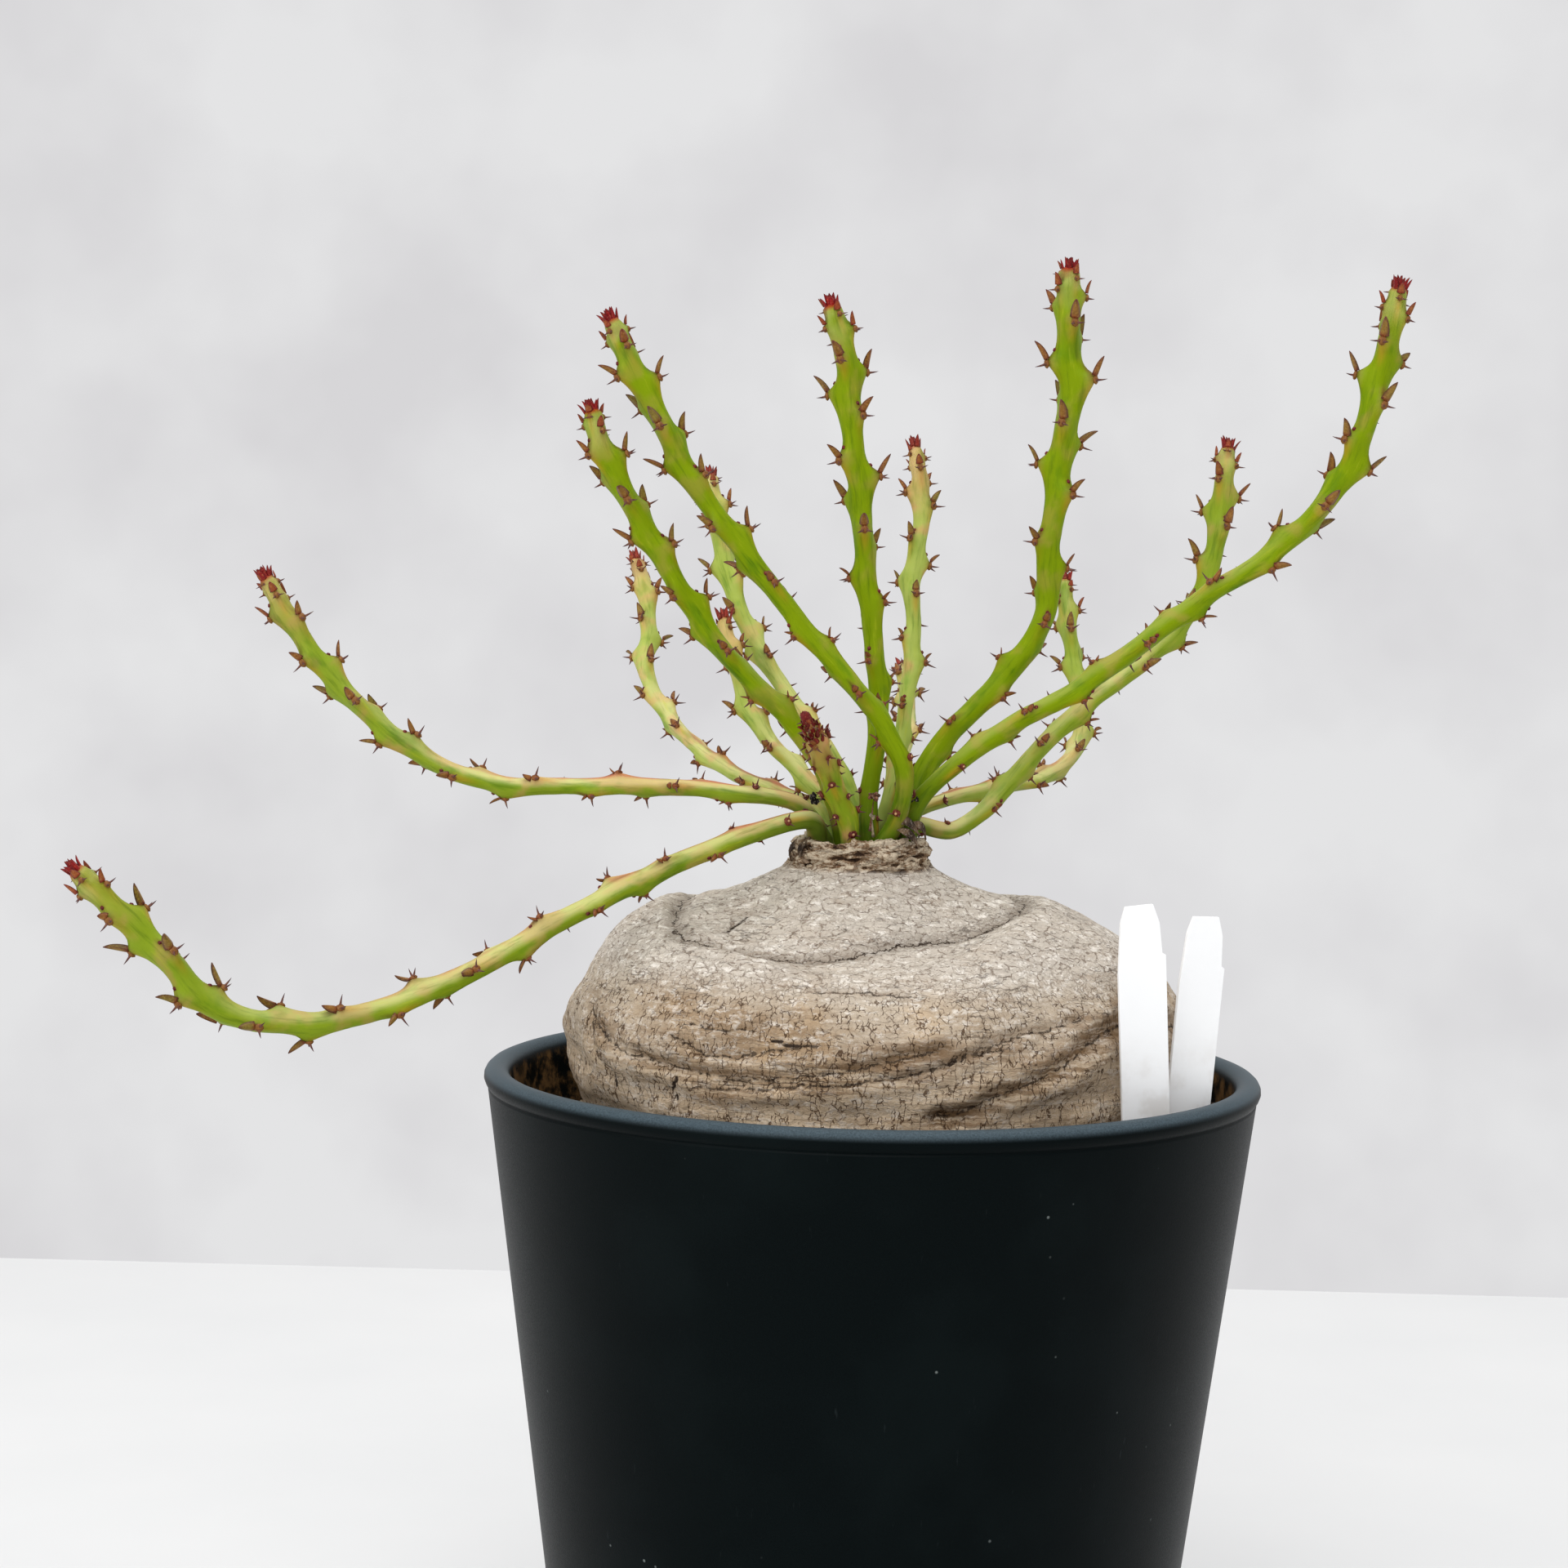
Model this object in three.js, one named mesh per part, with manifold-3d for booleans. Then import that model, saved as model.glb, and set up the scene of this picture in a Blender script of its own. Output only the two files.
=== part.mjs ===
// Potted euphorbia decidua: a swollen half-buried tuber with a crown of leafy stems, in a round pot.
// Millimetres, +Z up, origin at the centre of the pot's flat underside, front towards -Y.
import * as THREE from 'three';
import { mergeVertices } from 'three/addons/utils/BufferGeometryUtils.js';
import Module from 'manifold-3d';

const wasm = await Module();
wasm.setup();

const { cos, sin, exp, PI, max, min, round, hypot } = Math;
const DEG = PI / 180;

// Shared sizes
const RIM_Z = 135;
const GAP = 0.3;
const AROUND = 48;
const POT_AROUND = 48;
const POT_WALL_SLOPE = 0.127;
const POT_FLOOR = 3;
const DRAIN_HOLES = 4;
const DRAIN_RADIUS = 4;
const DRAIN_CIRCLE = 34;

// Solids

function bell(value, width) {
  return exp(-((value / width) ** 2));
}

function ease(edge0, edge1, value) {
  const t = min(1, max(0, (value - edge0) / (edge1 - edge0)));
  return t * t * (3 - 2 * t);
}

// A closed skin over rings of equal count, each end drawn together at one point.
function skin(rings, start, end) {
  const count = rings[0].length;
  const points = [...rings.flat(), start, end];
  const faces = [];
  for (let i = 0; i < rings.length - 1; i++) {
    for (let j = 0; j < count; j++) {
      const k = (j + 1) % count;
      const a = i * count + j;
      const b = i * count + k;
      const c = (i + 1) * count + k;
      const d = (i + 1) * count + j;
      const flip = points[a].distanceToSquared(points[c]) > points[b].distanceToSquared(points[d]);
      if (flip) {
        faces.push(a, b, d, b, c, d);
      } else {
        faces.push(a, b, c, a, c, d);
      }
    }
  }
  const last = (rings.length - 1) * count;
  for (let j = 0; j < count; j++) {
    const k = (j + 1) % count;
    faces.push(points.length - 2, k, j);
    faces.push(points.length - 1, last + j, last + k);
  }
  return { points, faces };
}

// The skin as a solid, with its faces turned to point out.
function solid({ points, faces }) {
  let volume = 0;
  for (let i = 0; i < faces.length; i += 3) {
    const [a, b, c] = [points[faces[i]], points[faces[i + 1]], points[faces[i + 2]]];
    volume += a.dot(new THREE.Vector3().crossVectors(b, c));
  }
  if (volume < 0) {
    faces.reverse();
  }
  const vertProperties = new Float32Array(points.flatMap((p) => [p.x, p.y, p.z]));
  return new wasm.Manifold(new wasm.Mesh({ numProp: 3, vertProperties, triVerts: new Uint32Array(faces) }));
}

// One of three's own closed shapes as a solid.
function solidOf(geometry) {
  geometry.deleteAttribute('normal');
  geometry.deleteAttribute('uv');
  const merged = mergeVertices(geometry, 1e-4);
  const vertProperties = new Float32Array(merged.attributes.position.array);
  const triVerts = new Uint32Array(merged.index.array);
  return new wasm.Manifold(new wasm.Mesh({ numProp: 3, vertProperties, triVerts }));
}

function geometryOf(manifold) {
  const mesh = manifold.getMesh();
  const geometry = new THREE.BufferGeometry();
  const positions = new Float32Array((mesh.vertProperties.length / mesh.numProp) * 3);
  for (let i = 0; i < positions.length / 3; i++) {
    for (let c = 0; c < 3; c++) {
      positions[3 * i + c] = mesh.vertProperties[i * mesh.numProp + c];
    }
  }
  geometry.setAttribute('position', new THREE.BufferAttribute(positions, 3));
  geometry.setIndex([...mesh.triVerts]);
  geometry.computeVertexNormals();
  return geometry;
}

function ring(pointAt) {
  return Array.from({ length: AROUND }, (_, j) => pointAt((j / AROUND) * 2 * PI));
}

// Pot

const potInner = (z) => 69.3 - (127 - z) * POT_WALL_SLOPE;

const POT_PROFILE = [
  [0, 0],
  [55.2, 0],
  [56.8, 1.5],
  [73.2, 121],
  [73.8, 130.5],
  [74.5, 131.8],
  [74.4, 133],
  [73.5, 134.1],
  [72.1, 134.5],
  [70.7, 134.1],
  [69.7, 133.1],
  [69.3, 127],
  [potInner(6), 6],
  [potInner(6) - 1.8, POT_FLOOR],
  [0, POT_FLOOR],
];

function makePot() {
  const profile = POT_PROFILE.map(([r, z]) => new THREE.Vector2(r, z));
  let pot = solidOf(new THREE.LatheGeometry(profile, POT_AROUND).rotateX(90 * DEG));
  for (let i = 0; i < DRAIN_HOLES; i++) {
    const angle = (i + 0.5) * (2 * PI / DRAIN_HOLES);
    const hole = new THREE.CylinderGeometry(DRAIN_RADIUS, DRAIN_RADIUS, POT_FLOOR + 2, 12).rotateX(90 * DEG);
    hole.translate(DRAIN_CIRCLE * cos(angle), DRAIN_CIRCLE * sin(angle), POT_FLOOR / 2);
    pot = pot.subtract(solidOf(hole));
  }
  return pot;
}

// Tuber: [radius, height from the rim] from the buried root up to the crown.
const ROOT_TIP = -83;
const ROOT = [
  [7, -77],
  [16, -64],
  [28, -49],
  [40, -34],
  [49.4, -18.5],
];
const SHOULDER = [
  [54.6, -9],
  [57.6, -2.5],
  [59.1, 4],
  [58.8, 9],
  [56.4, 15],
  [52.4, 21],
  [48.4, 25],
  [44.2, 28],
  [39.8, 30.2],
  [35.4, 31.4],
  [31, 32.2],
  [25, 33.4],
  [18.2, 35.8],
];
const CROWN_X = -3.2;
const CROWN_FLOOR = 41.3;
const CROWN = [
  [13.8, 38.2],
  [12.8, 39.6],
  [13.1, 41.4],
  [12.9, 43],
  [12.3, 43.9],
  [11.9, 43],
  [11.8, CROWN_FLOOR],
];

// The upper cone sags at the front and a little at the back, and ends in a crease with a soft lip below it.
const SAG = { front: 6.6, back: 3.5, reach: 12 };
const CREASE = {
  radius: 34, front: 7, back: 3, right: -4, depth: 1.5, width: 2.6, lip: 1.1, lipOut: 5, lipWidth: 3.5,
};
// Two folds run round the tuber near the pot's rim, lower at the front.
const FOLDS = { height: 4, sag: 5.5, depth: 0.9, width: 2.2, second: 8, secondDepth: 0.6 };
// The side that the labels stand against is a little flatter.
const LABEL_SIDE = -40 * DEG;
const LABEL_FLAT = 0.8;

const frontness = (a) => max(0, -sin(a)) ** 1.6;
const backness = (a) => max(0, sin(a)) ** 2;

function lumps(a, z) {
  return 0.7 * sin(2 * a + 0.8) + 0.5 * sin(5 * a + z * 0.12) + 0.35 * sin(9 * a - z * 0.3);
}

function tuberPoint(a, r, z, grow = 0) {
  const aboveSoil = ease(-13, 1, z);
  const upper = ease(5, 23, z);
  const sag = SAG.front * frontness(a) + SAG.back * backness(a);
  const crease = r - CREASE.radius - CREASE.front * frontness(a) - CREASE.back * backness(a)
    - CREASE.right * max(0, cos(a)) ** 2 - 1.5 * sin(3 * a + 0.6);
  const height = z + upper * (
    CREASE.lip * bell(crease - CREASE.lipOut, CREASE.lipWidth)
    - CREASE.depth * bell(crease, CREASE.width)
    - sag * bell(crease + 3, SAG.reach)
  );
  const fold = z - FOLDS.height + FOLDS.sag * frontness(a);
  const folds = FOLDS.depth * bell(fold, FOLDS.width)
    + FOLDS.secondDepth * bell(fold + FOLDS.second, FOLDS.width);
  const flat = LABEL_FLAT * max(0, cos(a - LABEL_SIDE)) ** 24;
  const radius = r + grow + aboveSoil * (lumps(a, z) - folds - flat);
  const shift = CROWN_X * ease(17, 38, z);
  return new THREE.Vector3(shift + radius * cos(a), radius * sin(a), RIM_Z + height);
}

// The crown's rim is ragged, lower at the left and lowest where a stem leans out over it at the right.
const CROWN_LOW = { left: 0.9, right: 2, rightSide: 17 * DEG };

function crownPoint(a, r, z) {
  const ragged = 0.5 * sin(5 * a + 1) + 0.35 * sin(11 * a) + 0.25 * sin(17 * a + 2);
  const low = CROWN_LOW.left * max(0, -cos(a)) + CROWN_LOW.right * max(0, cos(a - CROWN_LOW.rightSide)) ** 10;
  const onRim = z > CROWN_FLOOR + 0.5;
  const height = onRim ? z + 0.6 * ragged - low : z;
  const outward = r > 12.2 ? r + 0.3 * ragged * ease(38.5, 41, z) : r;
  return new THREE.Vector3(CROWN_X + outward * cos(a), outward * sin(a), RIM_Z + height);
}

function makeTuber() {
  const rings = [...ROOT, ...SHOULDER].map(([r, z]) => ring((a) => tuberPoint(a, r, z)));
  rings.push(...CROWN.map(([r, z]) => ring((a) => crownPoint(a, r, z))));
  const start = new THREE.Vector3(0, 0, RIM_Z + ROOT_TIP);
  const end = new THREE.Vector3(CROWN_X, 0, RIM_Z + CROWN_FLOOR);
  return solid(skin(rings, start, end));
}

// Soil: turned outside, stony on top, hollowed to the tuber's own shape.

// The surface lies lower at the left than at the right.
const SOIL_DEPTH = 12.2;
const SOIL_SLOPE = 0.045;
const SOIL_FOOT = 2.9;
const soilTop = (x) => RIM_Z - SOIL_DEPTH + SOIL_SLOPE * x;

function stone(a, r) {
  return 0.9 * sin(17 * a + r) * sin(r * 1.3 + 4 * a) + 0.5 * sin(29 * a - 0.7 * r);
}

// The tuber's outline at the soil's own height, between the two rings that it lies between.
function soilEdge(a) {
  const [low, high] = [ROOT[ROOT.length - 1], SHOULDER[0]].map(([r, z]) => tuberPoint(a, r, z, 0.45));
  const z = soilTop(54 * cos(a)) + 0.35 * stone(a, 54);
  return low.lerp(high, (z - low.z) / (high.z - low.z));
}

function makeSoil() {
  const low = POT_FLOOR + GAP;
  const corner = potInner(POT_FLOOR + SOIL_FOOT) - GAP;
  const rings = [
    ring((a) => new THREE.Vector3((corner - 2.1) * cos(a), (corner - 2.1) * sin(a), low)),
    ring((a) => new THREE.Vector3(corner * cos(a), corner * sin(a), low + SOIL_FOOT)),
  ];
  for (const share of [1, 0.68, 0.34]) {
    rings.push(ring((a) => {
      const inner = soilEdge(a);
      const outer = potInner(soilTop(68 * cos(a))) - GAP;
      const r = share * outer + (1 - share) * hypot(inner.x, inner.y);
      const z = soilTop(r * cos(a)) + (share === 1 ? 0 : stone(a, r));
      return new THREE.Vector3(r * cos(a), r * sin(a), z);
    }));
  }
  rings.push(ring(soilEdge));
  for (const [r, z] of [...ROOT].reverse()) {
    rings.push(ring((a) => tuberPoint(a, r, z, 0.35).add(new THREE.Vector3(0, 0, -0.35))));
  }
  const start = new THREE.Vector3(0, 0, low);
  const end = new THREE.Vector3(0, 0, RIM_Z + ROOT_TIP - 0.5);
  return solid(skin(rings, start, end));
}

// Labels: a flat strip, narrower in a step near its top and pointed in the soil, outlined as [across, up].

const LABEL_THICK = 0.8;
const LABEL_MIDDLE = 36;
const LABEL_OUTLINE = [
  [0, 0],
  [4.7, 16],
  [4.7, 66],
  [4, 66.4],
  [3.6, 72],
  [2.4, 75.5],
  [-3, 75.5],
  [-4, 72.5],
  [-4.7, 63],
  [-4.7, 16],
];

const LABELS = {
  label_short: { foot: [51.8, -34.8, 96], top: [47.4, -42.4, 171], turn: 20 },
  label_leaning: { foot: [55.4, -27.2, 92.6], top: [60.7, -29.6, 167.5], turn: 27 },
};

function makeLabel({ foot, top, turn }, grow = 0) {
  const root = new THREE.Vector3(...foot);
  const up = new THREE.Vector3(...top).sub(root).normalize();
  const towards = new THREE.Vector3(sin(turn * DEG), -cos(turn * DEG), 0);
  const side = new THREE.Vector3().crossVectors(up, towards).normalize();
  const front = new THREE.Vector3().crossVectors(side, up);
  const outline = LABEL_OUTLINE.map(([w, h]) => new THREE.Vector2(
    w + Math.sign(w) * grow,
    h + (h > LABEL_MIDDLE ? grow : -grow),
  ));
  const depth = LABEL_THICK + 2 * grow;
  const strip = new THREE.ExtrudeGeometry(new THREE.Shape(outline), { depth, bevelEnabled: false });
  strip.translate(0, 0, -depth / 2);
  strip.applyMatrix4(new THREE.Matrix4().makeBasis(side, up, front).setPosition(root));
  return solidOf(strip);
}

// Stems: the foot on the crown, then the points that each one passes through, up to its tip.

const FOOT_Z = RIM_Z + CROWN_FLOOR + GAP;
const STEMS = {
  stem_low_left: {
    foot: [-11.2, -4],
    path: [
      [-13.5, -8, 182.5], [-26.5, -16, 179], [-41, -24, 173], [-57, -33, 165], [-72, -42, 156.5],
      [-87, -51, 150.5], [-100, -58, 148.5], [-113.5, -64, 151.5], [-123.5, -69, 162.5],
      [-137, -73, 176.5],
    ],
  },
  stem_left: {
    foot: [-10.2, 1.4],
    path: [
      [-15.5, -1, 185], [-27, -4, 187], [-39.5, -6, 188], [-55, -8, 188], [-70.5, -10, 188],
      [-82.5, -12, 191.5], [-93, -14, 198.5], [-102.5, -15, 207.5], [-110, -16, 217.5],
      [-115.5, -17, 227],
    ],
  },
  stem_left_rising: {
    foot: [-6.4, -3.2],
    path: [
      [-8, -5, 185.5], [-11.5, -9, 194], [-18.5, -13, 203.5], [-28, -17, 213], [-35.5, -20, 223],
      [-42, -24, 234], [-47.5, -27, 243.5], [-51.5, -29, 251.5], [-53.5, -30, 258.5],
    ],
  },
  stem_front_rising: {
    foot: [1.4, -8.2],
    path: [
      [4, -9, 183.5], [5, -11, 191.5], [1.5, -13, 200], [-5, -15, 208.5], [-13.5, -17, 218],
      [-22, -20, 228.5], [-29.5, -22, 238], [-36, -24, 247], [-41, -26, 256.5], [-47, -27, 267.5],
      [-50.5, -28, 275],
    ],
  },
  stem_back_left_tall: {
    foot: [-4.8, 6.4],
    path: [
      [-4.5, 8, 184.5], [-9, 13, 193.5], [-16.5, 21, 203], [-24, 29, 213], [-29, 36, 222.5],
      [-32.5, 42, 232.5], [-34.5, 46, 242], [-36, 49, 249.5],
    ],
  },
  stem_back_left_hook: {
    foot: [-9.2, 6.4],
    path: [
      [-11.5, 9, 183.5], [-19, 14, 186], [-28.5, 24, 189], [-37.5, 36, 194], [-44.5, 47, 200.5],
      [-49, 56, 208.5], [-49, 63, 217], [-50.5, 69, 225.5], [-53, 73, 232],
    ],
  },
  stem_back_left_low: {
    foot: [-5, 1.6],
    path: [
      [-8.5, 4, 184.5], [-14.5, 7, 190], [-21, 12, 196], [-26, 17, 203], [-28.5, 21, 210.5],
      [-30.5, 25, 216], [-31.5, 27, 220.5],
    ],
  },
  stem_front_short: {
    foot: [-5, -8.6],
    path: [
      [-5.5, -10, 182.5], [-7.5, -13, 187.5], [-10, -18, 194], [-11.5, -23, 198.5],
      [-13.5, -28, 203],
    ],
  },
  stem_centre: {
    foot: [-1.4, -3.2],
    path: [
      [-1.5, -2, 187.5], [0, -2, 201], [-1, -4, 214], [-3, -7, 229.5], [-4.5, -10, 245],
      [-6.5, -12, 258.5], [-7.5, -13, 269], [-10.5, -15, 279.5],
    ],
  },
  stem_back_centre: {
    foot: [-0.4, 3.2],
    path: [
      [2, 4, 185], [4, 7, 195], [5.5, 12, 206], [6.5, 17, 217], [6, 22, 228.5], [7.5, 26, 238],
      [7.5, 29, 246.5], [6, 32, 255.5],
    ],
  },
  stem_right_tall: {
    foot: [2.8, -0.8],
    path: [
      [6, 0, 185], [11, 2, 195.5], [18.5, 2, 204], [26, 1, 212.5], [31.5, 0, 222.5],
      [31.5, -2, 232], [32.5, -4, 242.5], [33.5, -6, 253.5], [35, -7, 264], [34, -8, 274.5],
      [34, -9, 287.5],
    ],
  },
  stem_right_long: {
    foot: [4.9, -4.8],
    path: [
      [8.5, -6, 187], [16, -8, 194.5], [25.5, -9, 201.5], [36, -10, 207.5], [47.5, -12, 216],
      [59.5, -14, 225.5], [70.5, -16, 233], [79.5, -18, 241.5], [86, -20, 251.5], [89, -22, 262.5],
      [91.5, -23, 273.5], [93, -24, 283.5],
    ],
  },
  stem_right_low: {
    foot: [5.9, 2.4],
    path: [
      [8, 3, 181], [14.5, 5, 180], [21.5, 8, 184.5], [29.5, 12, 193.5], [39, 16, 203],
      [50.5, 20, 212], [59, 24, 220], [64.5, 28, 228.5], [67, 31, 239], [68, 33, 247.5],
      [69, 35, 256.5],
    ],
  },
  stem_back_right_hook: {
    foot: [3.6, 6.4],
    path: [
      [6, 9, 182.5], [14.5, 16, 185.5], [24.5, 25, 187.5], [34, 36, 189], [41, 47, 194.5],
      [42, 56, 203.5], [40.5, 63, 213.5], [39.5, 68, 222], [39, 71, 229.5],
    ],
  },
  stem_back_short: {
    foot: [-0.6, 9],
    path: [
      [2.5, 13, 184], [4.5, 24, 191.5], [6, 38, 198.5], [5.5, 52, 205], [5, 66, 210],
    ],
  },
};

// Tubercles wind up the stem, each two rings above the last and on a corner of its own ring.
const TUBERCLE_PITCH = 5.5;
const TUBERCLE_TURN = 137.5 * DEG;
const SIDES = 6;
const RING_TURN = TUBERCLE_TURN / 2 - 60 * DEG;
const CORE = 1.9;
const FOOT_SWELL = 0.04;
const TIP_TAPER = { share: 0.3, length: 9 };
const HUMP = { height: 1.5, turn: 0.75, below: 4.6, above: 1.9 };
// Below this share of its length a stem has neither leaves nor spines.
const BARE_SHARE = 0.27;
const LEAF = { length: 4.6, width: 0.75, thick: 1, raised: 0.35, sunk: 0.1, out: 0.62 };
const TIP_LEAF = { up: 2.6, out: 0.9, band: 1.1 };
const BUD = 1.9;
const SPINE = { length: 2.4, thick: 0.34, sunk: 0.42, below: 1 };
// Every second tubercle has its spines.
const SPINE_STEPS = 4;
// A leaf is left off where it would come this near to another stem's centreline.
const CLEAR = 7.4;

const curves = Object.fromEntries(Object.entries(STEMS).map(([name, { foot, path }]) => {
  const points = [[...foot, FOOT_Z], [...foot, FOOT_Z + 1.8], ...path].map((p) => new THREE.Vector3(...p));
  return [name, new THREE.CatmullRomCurve3(points, false, 'catmullrom', 0.5)];
}));
const centrelines = Object.fromEntries(Object.entries(curves).map(([name, curve]) => (
  [name, curve.getSpacedPoints(80)]
)));

function clearOfOthers(point, name) {
  return Object.entries(centrelines).every(([other, points]) => (
    other === name || points.every((p) => p.distanceTo(point) > CLEAR)
  ));
}

// Opens the skin at one point into a small triangle and draws that out as a keeled, pointed leaf.
function raiseLeaf({ points, faces }, v, side, tangent, outward, tip) {
  const at = points[v];
  const first = points.length;
  const upper = at.clone().addScaledVector(tangent, LEAF.raised).addScaledVector(outward, -LEAF.sunk);
  points.push(
    upper.clone().addScaledVector(side, -LEAF.width),
    upper.clone().addScaledVector(side, LEAF.width),
    at.clone().addScaledVector(tangent, LEAF.raised - LEAF.thick),
    tip,
  );
  const nearest = (n) => {
    const away = points[n].clone().sub(at);
    if (away.dot(tangent) < -0.7 * Math.abs(away.dot(side))) {
      return first + 2;
    }
    return away.dot(side) < 0 ? first : first + 1;
  };
  const around = [];
  for (let i = faces.length - 3; i >= 0; i -= 3) {
    const turn = [0, 1, 2].find((k) => faces[i + k] === v);
    if (turn === undefined) {
      continue;
    }
    const [, b, c] = [0, 1, 2].map((k) => faces[i + ((turn + k) % 3)]);
    faces.splice(i, 3);
    around.push([b, c]);
  }
  for (const [b, c] of around) {
    const [p, q] = [nearest(b), nearest(c)];
    faces.push(p, b, c);
    if (p !== q) {
      faces.push(p, c, q, p, q, first + 3);
    }
  }
}

// Both spines of a pair as one bent needle with its middle sunk in the tubercle.
function spinePair(root, outward, side, along, length) {
  const ends = [-1, 1].map((turn) => root.clone()
    .addScaledVector(outward, 0.66 * length)
    .addScaledVector(side, turn * 0.8 * length)
    .addScaledVector(along, -0.1 * length));
  const middle = [0, 120, 240].map((angle) => root.clone()
    .addScaledVector(outward, SPINE.thick * cos(angle * DEG) - 0.1)
    .addScaledVector(along, SPINE.thick * sin(angle * DEG)));
  return skin([middle], ends[0], ends[1]);
}

// Small upright leaves drawn out of the last band of the stem, one from each of its sides.
function addTipLeaves({ points, faces }, last, upwards) {
  const top = points[points.length - 1];
  for (let j = 0; j < SIDES; j++) {
    const k = (j + 1) % SIDES;
    const [a, b, c, d] = [last * SIDES + j, last * SIDES + k, (last + 1) * SIDES + k, (last + 1) * SIDES + j];
    for (let i = faces.length - 3; i >= 0; i -= 3) {
      if ([0, 1, 2].every((n) => [a, b, c, d].includes(faces[i + n]))) {
        faces.splice(i, 3);
      }
    }
    const centre = points[a].clone().add(points[b]).add(points[c]).add(points[d]).multiplyScalar(0.25);
    const outward = centre.clone().sub(top).projectOnPlane(upwards).normalize();
    points.push(centre.addScaledVector(upwards, TIP_LEAF.up).addScaledVector(outward, TIP_LEAF.out));
    const tip = points.length - 1;
    faces.push(a, b, tip, b, c, tip, c, d, tip, d, a, tip);
  }
}

function makeStem(name) {
  const curve = curves[name];
  const length = curve.getLength();
  const steps = 2 * round(length / TUBERCLE_PITCH);
  const frames = curve.computeFrenetFrames(steps, false);
  const spacing = length / steps;
  const tubercles = [];
  for (let k = 1; 2 * k < steps; k++) {
    tubercles.push({ along: 2 * k * spacing, angle: k * TUBERCLE_TURN, step: 2 * k });
  }
  const direction = (step, angle) => frames.normals[step].clone().multiplyScalar(cos(angle))
    .addScaledVector(frames.binormals[step], sin(angle));
  const swell = (s, angle) => tubercles.reduce((sum, t) => {
    const d = s - t.along;
    let turn = (angle - t.angle) % (2 * PI);
    turn = turn > PI ? turn - 2 * PI : turn < -PI ? turn + 2 * PI : turn;
    const bare = ease(0.12, BARE_SHARE + 0.05, t.along / length);
    return sum + bare * HUMP.height * bell(turn, HUMP.turn) * bell(d, d < 0 ? HUMP.below : HUMP.above);
  }, 0);
  const coreAt = (s) => CORE * (1 + FOOT_SWELL * (1 - ease(0, length / 2, s)))
    * (1 - TIP_TAPER.share * ease(length - TIP_TAPER.length, length, s));
  const section = (s, step, angle0) => Array.from({ length: SIDES }, (_, j) => {
    const angle = angle0 + j * (2 * PI / SIDES);
    return curve.getPointAt(s / length).addScaledVector(direction(step, angle), coreAt(s) + swell(s, angle));
  });
  const rings = [];
  for (let i = 0; i < steps; i++) {
    rings.push(section(i * spacing, i, i * RING_TURN));
  }
  rings.push(section(length - TIP_LEAF.band, steps, steps * RING_TURN));
  rings.push(section(length, steps, steps * RING_TURN));
  const upwards = frames.tangents[steps];
  const body = skin(rings, curve.getPointAt(0), curve.getPointAt(1).addScaledVector(upwards, BUD));
  addTipLeaves(body, steps, upwards);
  const spines = [];
  for (const { along: s, angle, step } of tubercles) {
    const outward = direction(step, angle);
    const tangent = frames.tangents[step];
    const side = new THREE.Vector3().crossVectors(tangent, outward);
    const v = step * SIDES + (step % SIDES);
    const at = body.points[v];
    const tip = at.clone()
      .addScaledVector(tangent, LEAF.length * cos(LEAF.out))
      .addScaledVector(outward, LEAF.length * sin(LEAF.out));
    if (s / length < BARE_SHARE || !clearOfOthers(tip, name)) {
      continue;
    }
    raiseLeaf(body, v, side, tangent, outward, tip);
    if (step % SPINE_STEPS === 0) {
      const low = at.clone().addScaledVector(outward, -SPINE.sunk).addScaledVector(tangent, -SPINE.below);
      spines.push(spinePair(low, outward, side, tangent, SPINE.length));
    }
  }
  let stem = solid(body);
  for (const spine of spines) {
    stem = stem.add(solid(spine));
  }
  return stem;
}

// Assembly

const MATERIALS = {
  pot: { color: 0x1a2426, roughness: 0.55 },
  soil: { color: 0x6b4a33, roughness: 1 },
  tuber: { color: 0x9a7f63, roughness: 0.95 },
  label: { color: 0xf1f1ef, roughness: 0.4 },
  stem: { color: 0x86a524, roughness: 0.5 },
};

const group = new THREE.Group();
group.name = 'potted_euphorbia_decidua';

function addPart(name, look, manifold) {
  const mesh = new THREE.Mesh(geometryOf(manifold), new THREE.MeshStandardMaterial(MATERIALS[look]));
  mesh.material.name = look;
  mesh.name = name;
  group.add(mesh);
}

let soil = makeSoil();
for (const shape of Object.values(LABELS)) {
  soil = soil.subtract(makeLabel(shape, GAP));
}
addPart('pot', 'pot', makePot());
addPart('soil', 'soil', soil);
addPart('tuber', 'tuber', makeTuber());
for (const [name, shape] of Object.entries(LABELS)) {
  addPart(name, 'label', makeLabel(shape));
}
for (const name of Object.keys(STEMS)) {
  addPart(name, 'stem', makeStem(name));
}

export default group;
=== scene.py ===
"""Potted euphorbia decidua: a swollen half-buried tuber with a crown of leafy stems, in a round pot.

Sizes are in millimetres, with the origin at the centre of the pot's underside and the front towards -Y.
They become metres where a mesh is made. Only the studio's floor and lights are given in metres.
"""

import math
from types import SimpleNamespace as Facts

import bmesh
import bpy
import numpy as np
from mathutils import Matrix, Vector, noise


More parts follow.
